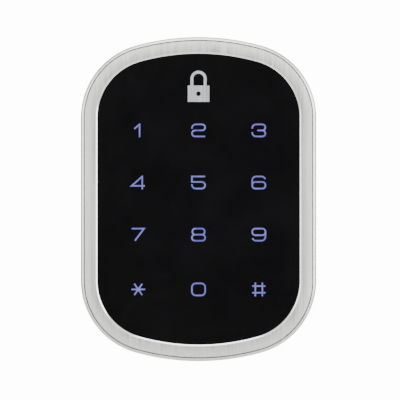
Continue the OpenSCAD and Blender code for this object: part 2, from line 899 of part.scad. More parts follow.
// A hooked rail on the side wall, which one tongue of the battery cover slides in
module cover_rail(s) {
  wall_x = half_w - cavity_inset;
  z = rail_z + rail_len / 2;
  hook_t = 1;
  web_x = wall_x - 2 * slide_gap - tongue_reach;
  web_w = 1.3;
  hook_y = rim_top_y + 0.5 + tongue_t + slide_gap;
  block(3.5, rail_len, rim_top_y - 4, rim_top_y, s * (wall_x - 1.55), z);
  block(web_w, rail_len, rim_top_y - 1, hook_y + hook_t, s * (web_x - web_w / 2 + 0.1), z);
  block(web_w + tongue_reach, rail_len, hook_y, hook_y + hook_t,
        s * (web_x - web_w + (web_w + tongue_reach) / 2 + 0.1), z);
}

module battery_cover() {
  color("#bab8b3") {
    difference() {
      intersection() {
        inside_form();
        translate([-face_w, rim_top_y + slide_gap, cover_z + slide_gap])
          cube([2 * face_w, in_depth, face_h]);
      }
      slab(in_y, in_front_y - cover_t) outline(cavity_inset);
    }
    for (s = [-1, 1])
      block(tongue_reach + 0.3, rail_len, rim_top_y + 0.5, rim_top_y + 0.5 + tongue_t,
            s * (half_w - cavity_inset + 0.3 - (tongue_reach + 0.3) / 2), rail_z + rail_len / 2);
  }
}

module battery_tray() {
  outer_x = tray_in_x + tray_wall;
  outer_h = tray_in_h + 2 * tray_wall;
  mid_z = tray_z + outer_h / 2;
  color("#17181a") intersection() {
    difference() {
      block(2 * outer_x, outer_h, chassis_y, tray_end_y, 0, mid_z);
      block(2 * tray_in_x, tray_in_h, chassis_y + tray_wall, in_front_y, 0, mid_z);
      block(2 * tray_in_x, face_h, tray_side_y, in_front_y, 0, mid_z);
    }
    slab(in_y, in_front_y) outline(in_plate_inset);
  }
}

// Middle of battery i: two in the back layer, then two in the front one
function cell_y(i) = cell_back_y + (i > 1 ? cell_layer : 0);
function cell_z(i) = cell_low_z + (i % 2) * (cell_d + cell_room);
// Its cap points to the right or to the left, so that the cells join in series
function cell_way(i) = (i == 0 || i == 3) ? 1 : -1;

module battery(i) {
  body_len = cell_len - cell_cap_len;
  color(i % 2 == 0 ? "#3c6f9c" : "#44779f")
    translate([0, cell_y(i), cell_z(i)]) rotate([0, 90 * cell_way(i), 0])
      translate([0, 0, tray_in_x - contact_t - cell_len]) {
        cylinder(d = cell_d, h = body_len);
        cylinder(d = cell_cap_d, h = cell_len);
      }
}

module battery_1() { battery(0); }
module battery_2() { battery(1); }
module battery_3() { battery(2); }
module battery_4() { battery(3); }

// Cone springs behind the flat end of each cell
spring_wire = 0.7;
spring_turns = 3;
spring_wide_r = 4.4;
spring_slim_r = 2.4;
spring_rings = 12 * spring_turns;
module battery_springs() {
  function at(t) = 360 * spring_turns * t;
  function radius(t) = spring_wide_r + (spring_slim_r - spring_wide_r) * t;
  ring_at = [for (k = [0:spring_rings]) k / spring_rings];
  length = spring_len - spring_wire;
  route = [for (t = ring_at)
    [radius(t) * cos(at(t)), radius(t) * sin(at(t)), spring_wire / 2 + length * t]];
  outward = [for (t = ring_at) [cos(at(t)), sin(at(t)), 0]];
  color("#c3c5c8") for (i = [0:3])
    translate([0, cell_y(i), cell_z(i)]) rotate([0, 90 * cell_way(i), 0])
      translate([0, 0, contact_t - tray_in_x]) tube(route, outward, spring_wire, 6);
}

module battery_contacts() {
  color("#c3c5c8") for (i = [0:3], s = [-1, 1])
    block(contact_t, cell_d - 3, cell_y(i) - contact_w / 2, cell_y(i) + contact_w / 2,
          s * (tray_in_x - contact_t / 2), cell_z(i));
}

module unit_screws() {
  color("#b0b2b5") for (s = [-1, 1])
    pan_screw(unit_screw_d, unit_tube_y, unit_tube_y - in_y - 0.5, 1, s * unit_tube_x, unit_tube_z);
}

module chassis_screws() {
  color("#b0b2b5") for (p = joint_boss_at) mirror([0, 1, 0])
    countersunk(box_screw_d, -in_plate_y, 9, p[0], p[1]);
}

// ---- Gears ----

// Half the angle of a tooth at radius r on a gear of n teeth
function half_tooth(n, r) =
  let (pitch_r = n * gear_m / 2, base_r = pitch_r * cos(pressure), a = acos(min(1, base_r / r)))
  90 / n - backlash / 4 / pitch_r * 180 / PI
  + (tan(pressure) - tan(a)) * 180 / PI - pressure + a;

function gear_points(n, phase) =
  let (
    pitch_r = n * gear_m / 2,
    base_r = pitch_r * cos(pressure),
    root_r = pitch_r - dedendum,
    tip_r = pitch_r + addendum,
    low_r = max(base_r, root_r),
    radii = [root_r, low_r + 0.01, (low_r + pitch_r) / 2, pitch_r, (pitch_r + tip_r) / 2, tip_r],
    top = len(radii) - 1
  )
  [for (tooth = [0:n - 1], k = [0:2 * top + 1]) let (
      r = radii[k <= top ? k : 2 * top + 1 - k],
      h = half_tooth(n, max(r, low_r)),
      a = phase + 360 * tooth / n + (k <= top ? -h : h)
    ) [r * cos(a), r * sin(a)]];

module gear(n, phase, y0, y1) {
  slab(y0, y1) polygon(gear_points(n, phase));
}

// Room for the gears, drawn out by extra: output gear, idler, pinion and motor
module gear_rooms(extra) {
  circle(output_r + addendum + gear_room + extra);
  translate([idler_x, 0]) circle(large_r + addendum + gear_room + extra);
  translate([idler_x, motor_z]) circle(motor_d / 2 + gear_room + extra);
}

module gearbox_base() {
  color("#34363a") difference() {
    union() {
      slab(box_y, lid_y) gear_rooms(box_wall);
      for (p = lug_at) rod(lug_d, chassis_y, lid_y, p[0], p[1]);
    }
    slab(box_y + box_floor_t, lid_y + cut) gear_rooms(0);
    rod(spindle_d + 2 * running_gap, box_y - cut, lid_y + cut);
    rod(idler_pin_d, box_y - cut, lid_y + cut, idler_x);
    for (p = lug_at) rod(box_screw_d + 2 * thread_gap, chassis_y - cut, lid_y + cut, p[0], p[1]);
  }
}

module gearbox_lid() {
  color("#3d4045") difference() {
    union() {
      slab(lid_y, lid_y + lid_t) gear_rooms(box_wall);
      for (p = lug_at) rod(lug_d, lid_y, lid_y + lid_t, p[0], p[1]);
      rod(motor_d + 2 * fit_gap + 2 * collar_wall, lid_y, collar_y, idler_x, motor_z);
    }
    rod(motor_d + 2 * fit_gap, lid_y - cut, collar_y + cut, idler_x, motor_z);
    rod(spindle_d + 2 * running_gap, lid_y - cut, lid_y + lid_t + cut);
    rod(idler_pin_d, lid_y - cut, lid_y + lid_t + cut, idler_x);
    for (p = lug_at)
      rod(box_screw_d + 2 * thread_gap, lid_y - cut, lid_y + lid_t + cut, p[0], p[1]);
  }
}

module gearbox_screws() {
  color("#b0b2b5") for (p = lug_at)
    pan_screw(box_screw_d, lid_y + lid_t, lid_y + lid_t - in_plate_y - 0.3, 1, p[0], p[1]);
}

module idler_pin() {
  color("#c0c2c4") rod(idler_pin_d, box_y, lid_y + lid_t, idler_x);
}

module idler_gear() {
  color("#ece7d6") translate([idler_x, 0, 0]) difference() {
    union() {
      gear(large_teeth, -90 % (360 / large_teeth), gear_a_y, gear_a_y + gear_a_t);
      gear(small_teeth, 180 / small_teeth, gear_a_y + gear_a_t, gear_b_y + gear_b_t);
    }
    rod(idler_pin_d + 2 * running_gap, gear_a_y - cut, gear_b_y + gear_b_t + cut);
  }
}

magnet_d = 3;
magnet_t = 2;
magnet_r = output_r - dedendum - magnet_d / 2 - 0.4;
module output_gear() {
  color("#ece7d6") difference() {
    gear(output_teeth, 180 % (360 / output_teeth), gear_b_y, gear_b_y + gear_b_t);
    rod(spindle_d, gear_b_y - cut, gear_b_y + gear_b_t + cut);
    rod(magnet_d, gear_b_y + gear_b_t - magnet_t, gear_b_y + gear_b_t + cut, 0, magnet_r);
  }
}

module position_magnet() {
  color("#d5d6d8") rod(magnet_d, gear_b_y + gear_b_t - magnet_t, gear_b_y + gear_b_t, 0, magnet_r);
}

clip_t = 0.8;
clip_d = 16;
clip_y = lid_y + lid_t + 0.3;
groove_d = spindle_d - 1.6;
module spindle() {
  color("#a5a29a") difference() {
    union() {
      rod(spindle_d, spindle_y, shoulder_y);
      block(square_w, square_w, shoulder_y - 1, turn_y + square_len);
    }
    block(blade_t + 2 * fit_gap, blade_w + 2 * fit_gap, spindle_y - cut, gear_b_y + blade_grip + 0.5);
    difference() {
      rod(spindle_d + cut, clip_y - 0.1, clip_y + clip_t + 0.1);
      rod(groove_d, clip_y - cut, clip_y + clip_t + cut);
    }
  }
}

module spindle_clip() {
  color("#4a4c50") difference() {
    rod(clip_d, clip_y, clip_y + clip_t);
    rod(groove_d, clip_y - cut, clip_y + clip_t + cut);
    block(6, clip_d, clip_y - cut, clip_y + clip_t + cut, 0, -clip_d / 2);
  }
}

module motor_pinion() {
  pinion_phase = 90 + 180 / small_teeth;
  color("#c9a552") translate([idler_x, 0, motor_z]) difference() {
    gear(small_teeth, pinion_phase, gear_a_y, gear_a_y + gear_a_t);
    rod(motor_shaft_d + 2 * running_gap, gear_a_y - cut, gear_a_y + gear_a_t + cut);
  }
}

module gear_motor() {
  color("#9ea1a5") {
    rod(motor_d, motor_y, motor_y + motor_len, idler_x, motor_z);
    rod(motor_shaft_d, gear_a_y + 0.3, motor_y, idler_x, motor_z);
    for (s = [-1, 1])
      block(1, 2.4, motor_y + motor_len, motor_y + motor_len + 1.5, idler_x + s * 3, motor_z);
  }
}

// ---- Electronics of the inside unit ----

module main_board() {
  color("#1f5a34") difference() {
    intersection() {
      slab(main_board_y, main_board_back_y) outline(board_inset);
      translate([-face_w, in_y, board_top_z - face_h]) cube([2 * face_w, in_depth, face_h]);
    }
    rod(clip_d + 3, main_board_y - cut, main_board_back_y + cut);
    rod(motor_d + 2 * fit_gap + 2 * collar_wall + 1, main_board_y - cut, main_board_back_y + cut,
        idler_x, motor_z);
    for (s = [-1, 1])
      rod(joint_boss_d + 1.2, main_board_y - cut, main_board_back_y + cut, s * side_boss_x, side_boss_z);
    for (p = post_at) rod(box_screw_d + fit_gap, main_board_y - cut, main_board_back_y + cut, p[0], p[1]);
  }
}

module main_board_screws() {
  color("#b0b2b5") for (p = post_at) pan_screw(box_screw_d, main_board_back_y, board_screw_len, 1, p[0], p[1]);
}

module main_chips() {
  y = main_board_back_y;
  color("#26262a") {
    block(9, 9, y, y + 1.2, 20, -8);
    block(5, 6, y, y + 1.4, 19, -20);
    block(4, 5, y, y + 1.4, -14, 18);
    for (i = [0:5]) block(1.2, 2, y, y + 0.8, -25 + 3 * i, 11.5);
    for (i = [0:4]) block(1.2, 2, y, y + 0.8, 27.5, -14 + 3 * i);
  }
}

module radio_module() {
  y = main_board_back_y;
  color("#b8babd") block(16, 12, y, y + 2.4, 18, 15.5);
}

module main_connector() {
  color("#efeadc") block(9, 5, main_board_y - 4, main_board_y, 0, 22.7);
}

// Two sensors that feel the magnet at the ends of the quarter turn
module hall_sensors() {
  y = main_board_y;
  color("#26262a") {
    block(3, 2, y - 1.2, y, 0, magnet_r);
    block(2, 3, y - 1.2, y, magnet_r, 0);
  }
}

module tact_switch() {
  y = main_board_back_y;
  color("#3b3c3f") {
    block(switch_w, switch_w, y, y + switch_t, 0, button_z);
    rod(switch_knob_d, y + switch_t - 0.1, y + switch_t + switch_knob_t, 0, button_z);
  }
}

// ---- Thumb turn and privacy button ----

module thumb_turn() {
  grip_y = in_front_y + grip_h;
  set_y = turn_y + hub_t / 2;
  color("#b5b3ae") difference() {
    union() {
      rod(hub_d, turn_y, turn_y + hub_t);
      hull() for (s = [-1, 1]) {
        rod(grip_t, turn_y, grip_y - grip_round, 0, s * (grip_len - grip_t) / 2, $fn = 32);
        rod(grip_t - 2 * grip_round, turn_y, grip_y, 0, s * (grip_len - grip_t) / 2, $fn = 32);
      }
    }
    block(square_w + 2 * thread_gap, square_w + 2 * thread_gap, turn_y - cut, turn_y + square_len + 0.2);
    translate([0, set_y, 0]) rotate([0, 90, 0]) cylinder(d = set_screw_d + 2 * thread_gap, h = hub_d);
  }
}

module turn_set_screw() {
  seat_x = square_w / 2;
  color("#3a3b3e") translate([seat_x, turn_y + hub_t / 2, 0]) rotate([0, 90, 0]) difference() {
    cylinder(d = set_screw_d, h = hub_d / 2 - seat_x - set_screw_rest);
    translate([0, 0, hub_d / 2 - seat_x - set_screw_rest - 2]) cylinder(d = set_screw_key, h = 3, $fn = 6);
  }
}

module turn_washer() {
  color("#e6e3d8") difference() {
    rod(hub_d - 6, in_front_y, in_front_y + washer_t);
    rod(spindle_d + 2 * slide_gap, in_front_y - cut, in_front_y + washer_t + cut);
  }
}

module privacy_button() {
  flange_back_y = in_skin_y - slide_gap;
  stem_y = main_board_back_y + switch_t + switch_knob_t + button_travel + 0.1;
  color("#2a2b2d") {
    rod(button_d, flange_back_y - 0.5, in_front_y + button_proud, 0, button_z);
    rod(button_d + 2 * button_flange, flange_back_y - button_flange_t, flange_back_y, 0, button_z);
    rod(button_stem_d, stem_y, flange_back_y - 0.5, 0, button_z);
  }
}

gasket();
back_plate();
bezel_frame();
panel_seal();
touch_panel();
digit_windows();
padlock_sign();
touch_sensor_film();
diffuser_sheet();
light_guide();
keypad_chassis();
keypad_board();
keypad_leds();
keypad_chips();
buzzer();
keypad_connector();
keypad_board_screws();
plate_screws();
blade_bush();
cable_grommet();
terminal_insulator();
terminal_studs();
through_bolts();
lead_cable();
torque_blade();
inside_plate();
inside_chassis();
inside_housing();
battery_cover();
battery_tray();
battery_1();
battery_2();
battery_3();
battery_4();
battery_springs();
battery_contacts();
unit_screws();
chassis_screws();
gearbox_base();
gearbox_lid();
gearbox_screws();
idler_pin();
idler_gear();
spindle();
spindle_clip();
output_gear();
position_magnet();
motor_pinion();
gear_motor();
main_board();
main_board_screws();
main_chips();
radio_module();
main_connector();
hall_sensors();
tact_switch();
thumb_turn();
turn_washer();
turn_set_screw();
privacy_button();
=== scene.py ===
# Keypad smart lock: a touch keypad unit outside the door, a motor and battery unit inside it,
# and the bolts, blade and lead that join them. Each section below is one piece or one group of
# like pieces, in the order in which the lock goes together.
import math

import bmesh
import bpy
from mathutils import Matrix, Vector


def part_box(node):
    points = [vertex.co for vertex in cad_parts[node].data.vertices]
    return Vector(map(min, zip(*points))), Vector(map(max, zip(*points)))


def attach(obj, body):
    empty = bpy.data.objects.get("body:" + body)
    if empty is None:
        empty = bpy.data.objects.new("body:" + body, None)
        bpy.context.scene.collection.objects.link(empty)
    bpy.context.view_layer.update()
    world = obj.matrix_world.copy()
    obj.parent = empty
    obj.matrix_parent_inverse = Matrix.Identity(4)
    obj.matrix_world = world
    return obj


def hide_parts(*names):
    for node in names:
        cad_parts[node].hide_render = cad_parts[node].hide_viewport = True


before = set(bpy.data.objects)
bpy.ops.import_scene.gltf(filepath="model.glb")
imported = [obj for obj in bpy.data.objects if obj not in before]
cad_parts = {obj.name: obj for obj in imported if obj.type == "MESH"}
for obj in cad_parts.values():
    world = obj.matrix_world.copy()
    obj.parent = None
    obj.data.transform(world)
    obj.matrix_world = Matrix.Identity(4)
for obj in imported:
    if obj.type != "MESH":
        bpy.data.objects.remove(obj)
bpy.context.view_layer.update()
MM = 0.001


# ---- Metal frame ----
# The frame is a zinc casting with satin nickel plating. Its face is slightly crowned, a fine
# groove parts it from the rounded outer edge, and its inner edge is cut bright beside the panel.
frame_low, frame_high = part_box("bezel_frame")
FACE_HALF_W = (frame_high[0] - frame_low[0]) / 2
FACE_HALF_H = (frame_high[2] - frame_low[2]) / 2
FACE_MID_Z = (frame_high[2] + frame_low[2]) / 2
FACE_Y = frame_low[1]
RIM_Y = frame_high[1]
CORNER_R = 25.7 * MM
END_R = 80.6 * MM
CORNER_STEPS = 22
END_STEPS = 36
WALL = 2.4 * MM
LIP_W = 5.8 * MM
LIP_T = 2.6 * MM
BEYOND = MM  # how far a cutting tool reaches past the face that it cuts
QUARTER_TURN = math.radians(90)

corner_x = FACE_HALF_W - CORNER_R
end_z = FACE_HALF_H - END_R
corner_z = end_z + math.sqrt((END_R - CORNER_R) ** 2 - corner_x ** 2)
corner_turn = math.atan2(corner_z - end_z, corner_x)


def outline_loop(bm, inset, depth):
    """One closed loop of the face outline, drawn in by inset, at this depth."""
    before = set(bm.edges)
    first = bm.verts.new((FACE_HALF_W - inset, depth, FACE_MID_Z + corner_z))
    tip = first
    for side in (1, -1):
        if side == -1:
            foot = bmesh.ops.extrude_vert_indiv(bm, verts=[tip])["verts"][0]
            foot.co = Vector((inset - FACE_HALF_W, depth, FACE_MID_Z - corner_z))
            tip = foot
        arcs = (
            (side * corner_x, side * corner_z, corner_turn, CORNER_STEPS),
            (0, side * end_z, math.pi - 2 * corner_turn, END_STEPS),
            (-side * corner_x, side * corner_z, corner_turn, CORNER_STEPS),
        )
        for x, z, angle, steps in arcs:
            made = bmesh.ops.spin(
                bm, geom=[tip], cent=(x, depth, FACE_MID_Z + z), axis=(0, -1, 0), angle=angle, steps=steps
            )
            tip = [v for v in made["geom_last"] if isinstance(v, bmesh.types.BMVert)][0]
    bm.edges.new((tip, first))
    return [e for e in bm.edges if e not in before]


def outline_walls(bm, stations, closed, finish=None):
    """Walls through a row of outlines, each an inset and a depth. Gives the first and last loops."""
    loops = [outline_loop(bm, inset, depth) for inset, depth in stations]
    pairs = list(zip(loops, loops[1:]))
    if closed:
        pairs.append((loops[-1], loops[0]))
    for i, (near, far) in enumerate(pairs):
        wall = bmesh.ops.bridge_loops(bm, edges=near + far)["faces"]
        for face in wall:
            face.material_index = (finish or {}).get(i, 0)
    return loops[0], loops[-1]


def finish_piece(name, bm, materials, body, node, sharp=30):
    """Makes the object, shades it smooth, puts it on its body and hides its CAD piece."""
    bmesh.ops.remove_doubles(bm, verts=bm.verts, dist=0.0005 * MM)
    bmesh.ops.recalc_face_normals(bm, faces=bm.faces)
    mesh = bpy.data.meshes.new(name)
    bm.to_mesh(mesh)
    bm.free()
    piece = bpy.data.objects.new(name, mesh)
    bpy.context.scene.collection.objects.link(piece)
    for material in materials:
        mesh.materials.append(material)
    shade(piece, sharp)
    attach(piece, body)
    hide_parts(node)
    return piece


def shade(piece, sharp):
    """Smooth shading that breaks at edges sharper than this many degrees."""
    for face in piece.data.polygons:
        face.use_smooth = True
    piece.data.set_sharp_from_angle(angle=math.radians(sharp))


def carve(piece, tool, operation="DIFFERENCE", sharp=30):
    """Cuts the piece with a tool shape, or joins the shape on, then throws the tool away."""
    cutter = piece.modifiers.new("cut", "BOOLEAN")
    cutter.operation = operation
    cutter.solver = "EXACT"
    cutter.object = tool
    bpy.context.view_layer.update()
    cut_mesh = bpy.data.meshes.new_from_object(piece.evaluated_get(bpy.context.evaluated_depsgraph_get()))
    piece.modifiers.clear()
    cut_mesh.name = piece.data.name
    piece.data = cut_mesh
    bpy.data.objects.remove(tool)
    shade(piece, sharp)


def tool_from(bm):
    """A plain object to cut or join with."""
    bmesh.ops.recalc_face_normals(bm, faces=bm.faces)
    mesh = bpy.data.meshes.new("tool")
    bm.to_mesh(mesh)
    bm.free()
    tool = bpy.data.objects.new("tool", mesh)
    bpy.context.scene.collection.objects.link(tool)
    return tool


def add_box(bm, low, high):
    """A box from its lowest corner to its highest."""
    size = Vector(high) - Vector(low)
    middle = (Vector(high) + Vector(low)) / 2
    bmesh.ops.create_cube(bm, size=1, matrix=Matrix.Translation(middle) @ Matrix.Diagonal((*size, 1)))


def add_rod(bm, radius, y0, y1, x, z, segments=48):
    """A round bar along the door's depth."""
    place = Matrix.Translation((x, (y0 + y1) / 2, z)) @ Matrix.Rotation(QUARTER_TURN, 4, "X")
    bmesh.ops.create_cone(
        bm, cap_ends=True, segments=segments, radius1=radius, radius2=radius, depth=y1 - y0, matrix=place
    )


def new_group(name, inputs, outputs):
    """An empty node group with these number inputs, each with its usual value, and outputs."""
    group = bpy.data.node_groups.new(name, "ShaderNodeTree")
    for key, value in inputs.items():
        made = group.interface.new_socket(key, in_out="INPUT", socket_type="NodeSocketFloat")
        made.default_value = value
    for key in outputs:
        group.interface.new_socket(key, in_out="OUTPUT", socket_type="NodeSocketFloat")
    nodes = group.nodes
    return group, nodes, group.links, nodes.new("NodeGroupInput"), nodes.new("NodeGroupOutput")


def add_noise(nodes, links, vector, scale, detail, roughness=0.5, distortion=0.0):
    """A noise pattern along these coordinates."""
    noise = nodes.new("ShaderNodeTexNoise")
    noise.inputs["Scale"].default_value = scale
    noise.inputs["Detail"].default_value = detail
    noise.inputs["Roughness"].default_value = roughness
    noise.inputs["Distortion"].default_value = distortion
    links.new(vector, noise.inputs["Vector"])
    return noise


def brushed_lines_group():
    """Fine lines that run up and down a brushed surface, and the slow drift in their tone."""
    values = {"Across": 1300, "Along": 22}
    group, nodes, links, start, end = new_group("brushed_lines", values, ("Line", "Drift"))
    place = nodes.new("ShaderNodeTexCoord")
    stretch = nodes.new("ShaderNodeCombineXYZ")
    links.new(start.outputs["Across"], stretch.inputs["X"])
    links.new(start.outputs["Across"], stretch.inputs["Y"])
    links.new(start.outputs["Along"], stretch.inputs["Z"])
    scaled = nodes.new("ShaderNodeVectorMath")
    scaled.operation = "MULTIPLY"
    links.new(place.outputs["Object"], scaled.inputs[0])
    links.new(stretch.outputs["Vector"], scaled.inputs[1])
    line = add_noise(nodes, links, scaled.outputs["Vector"], scale=1, detail=5, roughness=0.65)
    drift = add_noise(nodes, links, place.outputs["Object"], scale=55, detail=2)
    links.new(line.outputs["Fac"], end.inputs["Line"])
    links.new(drift.outputs["Fac"], end.inputs["Drift"])
    return group


def new_material(name, **constants):
    """A material with one shader, whose unchanging values are set on the shader itself."""
    material = bpy.data.materials.new(name)
    material.use_nodes = True
    nodes, links = material.node_tree.nodes, material.node_tree.links
    shader = nodes["Principled BSDF"]
    for key, value in constants.items():
        shader.inputs[key.replace("_", " ")].default_value = value
    return material, nodes, links, shader


def group_node(nodes, group, **values):
    """Places a group in a material with its own values."""
    made = nodes.new("ShaderNodeGroup")
    made.node_tree = group
    for key, value in values.items():
        made.inputs[key].default_value = value
    return made


def spread(nodes, links, source, low, high, target=None, from_low=0.3, from_high=0.7):
    """Stretches a pattern's middle values to the range low to high."""
    fit = nodes.new("ShaderNodeMapRange")
    fit.inputs["From Min"].default_value = from_low
    fit.inputs["From Max"].default_value = from_high
    fit.inputs["To Min"].default_value = low
    fit.inputs["To Max"].default_value = high
    links.new(source, fit.inputs["Value"])
    if target:
        links.new(fit.outputs["Result"], target)
    return fit


def two_tones(nodes, links, source, dark, light, target, from_low=0.3, from_high=0.7):
    """Mixes two colours by a pattern."""
    ramp = nodes.new("ShaderNodeValToRGB")
    ramp.color_ramp.elements[0].position = from_low
    ramp.color_ramp.elements[0].color = (*dark, 1)
    ramp.color_ramp.elements[1].position = from_high
    ramp.color_ramp.elements[1].color = (*light, 1)
    links.new(source, ramp.inputs["Fac"])
    links.new(ramp.outputs["Color"], target)


def add_bump(nodes, links, source, shader, strength, distance):
    """Lets a pattern stand up from the surface."""
    bump = nodes.new("ShaderNodeBump")
    bump.inputs["Strength"].default_value = strength
    bump.inputs["Distance"].default_value = distance
    links.new(source, bump.inputs["Height"])
    links.new(bump.outputs["Normal"], shader.inputs["Normal"])


BRUSHED_LINES = brushed_lines_group()
DRIFT_SHARE = 0.35


def brushed_metal(name, dark, light, rough_low, rough_high, depth=0.12):
    """Metal with fine lines up and down, as a belt or a brush leaves it."""
    material, nodes, links, shader = new_material(name, Metallic=1.0)
    grain = group_node(nodes, BRUSHED_LINES)
    blend = nodes.new("ShaderNodeMath")
    blend.operation = "MULTIPLY_ADD"
    blend.inputs[1].default_value = DRIFT_SHARE
    links.new(grain.outputs["Drift"], blend.inputs[0])
    links.new(grain.outputs["Line"], blend.inputs[2])
    two_tones(nodes, links, blend.outputs["Value"], dark, light, shader.inputs["Base Color"], 0.45, 0.9)
    spread(nodes, links, grain.outputs["Line"], rough_low, rough_high, shader.inputs["Roughness"])
    add_bump(nodes, links, grain.outputs["Line"], shader, depth, 0.02 * MM)
    return material


SATIN_NICKEL = brushed_metal("satin_nickel", (0.60, 0.592, 0.57), (0.80, 0.795, 0.775), 0.30, 0.44)
BRIGHT_CUT = brushed_metal("bright_cut_nickel", (0.84, 0.83, 0.81), (0.94, 0.93, 0.915), 0.10, 0.18, 0.04)
# The groove's floor takes a darker copy of the nickel: painted shade in the crease, with some polishing
# residue.
GROOVE_SHADE_AND_RESIDUE = brushed_metal("groove_shade_and_residue_nickel", (0.20, 0.195, 0.185), (0.32, 0.31, 0.30), 0.45, 0.6)

GROOVE_AT = 1.05 * MM
GROOVE_W = 0.4 * MM
GROOVE_DEPTH = 0.34 * MM
GROOVE_SINK = 0.16 * MM
CROWN = 0.42 * MM
EDGE_R = 1.25 * MM
EDGE_SWEEP = math.radians(75)
RIM_CHAMFER = 0.25 * MM
CUT_W = 0.42 * MM
CUT_DROP = 0.25 * MM
CUT_ROUND = 0.08 * MM
CAST_SLOPE = 0.05 * MM
EDGE_STEPS = 6
CROWN_STEPS = 6

groove_out_y = FACE_Y + CROWN + GROOVE_SINK
face_start = GROOVE_AT + GROOVE_W
face_end = LIP_W - CUT_W - CUT_ROUND / 2
edge_squeeze = GROOVE_AT / (1 - math.cos(EDGE_SWEEP))
stations = [(RIM_CHAMFER, RIM_Y), (0, RIM_Y - RIM_CHAMFER)]
for i in range(EDGE_STEPS + 1):
    a = EDGE_SWEEP * i / EDGE_STEPS
    stations.append((
        edge_squeeze * (1 - math.cos(a)), groove_out_y + EDGE_R * (math.sin(EDGE_SWEEP) - math.sin(a))
    ))
groove_from = len(stations) - 1
stations.append((GROOVE_AT + 0.4 * GROOVE_W, groove_out_y + GROOVE_DEPTH))
stations.append((GROOVE_AT + 0.6 * GROOVE_W, groove_out_y + GROOVE_DEPTH - CAST_SLOPE))
for i in range(CROWN_STEPS + 1):
    t = i / CROWN_STEPS
    stations.append((face_start + (face_end - face_start) * t, FACE_Y + CROWN * (1 - t) ** 2))
cut_from = len(stations)
stations += [
    (LIP_W - CUT_W, FACE_Y + CUT_ROUND / 4),
    (LIP_W - CAST_SLOPE, FACE_Y + CUT_DROP),
    (LIP_W, FACE_Y + CUT_DROP + CUT_ROUND),
    (LIP_W, FACE_Y + LIP_T - CAST_SLOPE),
    (WALL, FACE_Y + LIP_T),
    (WALL, RIM_Y - CAST_SLOPE),
]
bm = bmesh.new()
# The groove's bands take material 2, the painted shade; the cut edge takes material 1, the bright cut.
outline_walls(bm, stations, closed=True, finish={groove_from: 2, groove_from + 1: 2, cut_from: 1})
FRAME_SHARP = 28
frame_finishes_and_shade = [SATIN_NICKEL, BRIGHT_CUT, GROOVE_SHADE_AND_RESIDUE]
metal_frame = finish_piece(
    "metal_frame", bm, frame_finishes_and_shade, "lock_case", "bezel_frame", FRAME_SHARP
)

# The slot in the bottom wall for the spare battery's terminals
SLOT_GAP = 0.15 * MM
SLOT_HALF_W = 11 * MM
SLOT_HALF_T = 3 * MM
SLOT_REACH = 4 * MM
studs_low, studs_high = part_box("terminal_studs")
slot_y = (studs_low[1] + studs_high[1]) / 2
slot_x = SLOT_HALF_W + SLOT_GAP
slot_t = SLOT_HALF_T + SLOT_GAP
bm = bmesh.new()
slot_foot = frame_low[2] - BEYOND
add_box(bm, (-slot_x, slot_y - slot_t, slot_foot), (slot_x, slot_y + slot_t, frame_low[2] + SLOT_REACH))
carve(metal_frame, tool_from(bm), sharp=FRAME_SHARP)

# Four bosses behind the face, drilled for the screws that come through the back plate
SCREW_BOSS_R = 3.6 * MM
SCREW_BOSS_LEN = 7 * MM
SCREW_BOSS_RISE = 12 * MM
SCREW_BOSS_SUNK = 0.4 * MM
PLATE_T = 2 * MM
PLATE_SCREW_R = 1.55 * MM
PLATE_SCREW_LEN = 7.65 * MM
plate_back_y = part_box("gasket")[0][1]
plate_y = plate_back_y - PLATE_T
screw_boss_x = FACE_HALF_W - WALL - SCREW_BOSS_R + SCREW_BOSS_SUNK
screw_boss_at = [
    (side * screw_boss_x, FACE_MID_Z + way * SCREW_BOSS_RISE) for side in (-1, 1) for way in (-1, 1)
]
bm = bmesh.new()
for x, z in screw_boss_at:
    add_rod(bm, SCREW_BOSS_R, plate_y - SCREW_BOSS_LEN, plate_y, x, z)
carve(metal_frame, tool_from(bm), "UNION", FRAME_SHARP)
bm = bmesh.new()
for x, z in screw_boss_at:
    add_rod(bm, PLATE_SCREW_R, plate_back_y - PLATE_SCREW_LEN, 0, x, z)
carve(metal_frame, tool_from(bm), sharp=FRAME_SHARP)


# ---- Touch panel, legends and padlock sign ----
# The panel is one sheet of hard-coated black acrylic, glossy and with faint smears from fingers.
# The twelve legends are clear inlays that glow lavender from behind; the padlock is a grey inlay.
def dress(node, material):
    """Gives a CAD piece its finish."""
    for material_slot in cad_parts[node].material_slots:
        material_slot.material = material


def smears_group():
    """Slow, streaky patches as fingers leave on a glossy face."""
    group, nodes, links, start, end = new_group("smears", {"Size": 48}, ("Smear",))
    place = nodes.new("ShaderNodeTexCoord")
    patches = add_noise(nodes, links, place.outputs["Object"], 1, detail=6, roughness=0.55, distortion=1.2)
    links.new(start.outputs["Size"], patches.inputs["Scale"])
    links.new(patches.outputs["Fac"], end.inputs["Smear"])
    return group


SMEARS = smears_group()

panel_black, nodes, links, shader = new_material(
    "panel_black", Coat_Weight=0.2, Coat_Roughness=0.03, IOR=1.49
)
smear = group_node(nodes, SMEARS)
DEEP_BLACK = (0.0010, 0.0010, 0.0013)
SMEARED_BLACK = (0.0022, 0.0022, 0.0026)
two_tones(nodes, links, smear.outputs["Smear"], DEEP_BLACK, SMEARED_BLACK, shader.inputs["Base Color"])
spread(nodes, links, smear.outputs["Smear"], 0.04, 0.11, shader.inputs["Roughness"])
dress("touch_panel", panel_black)

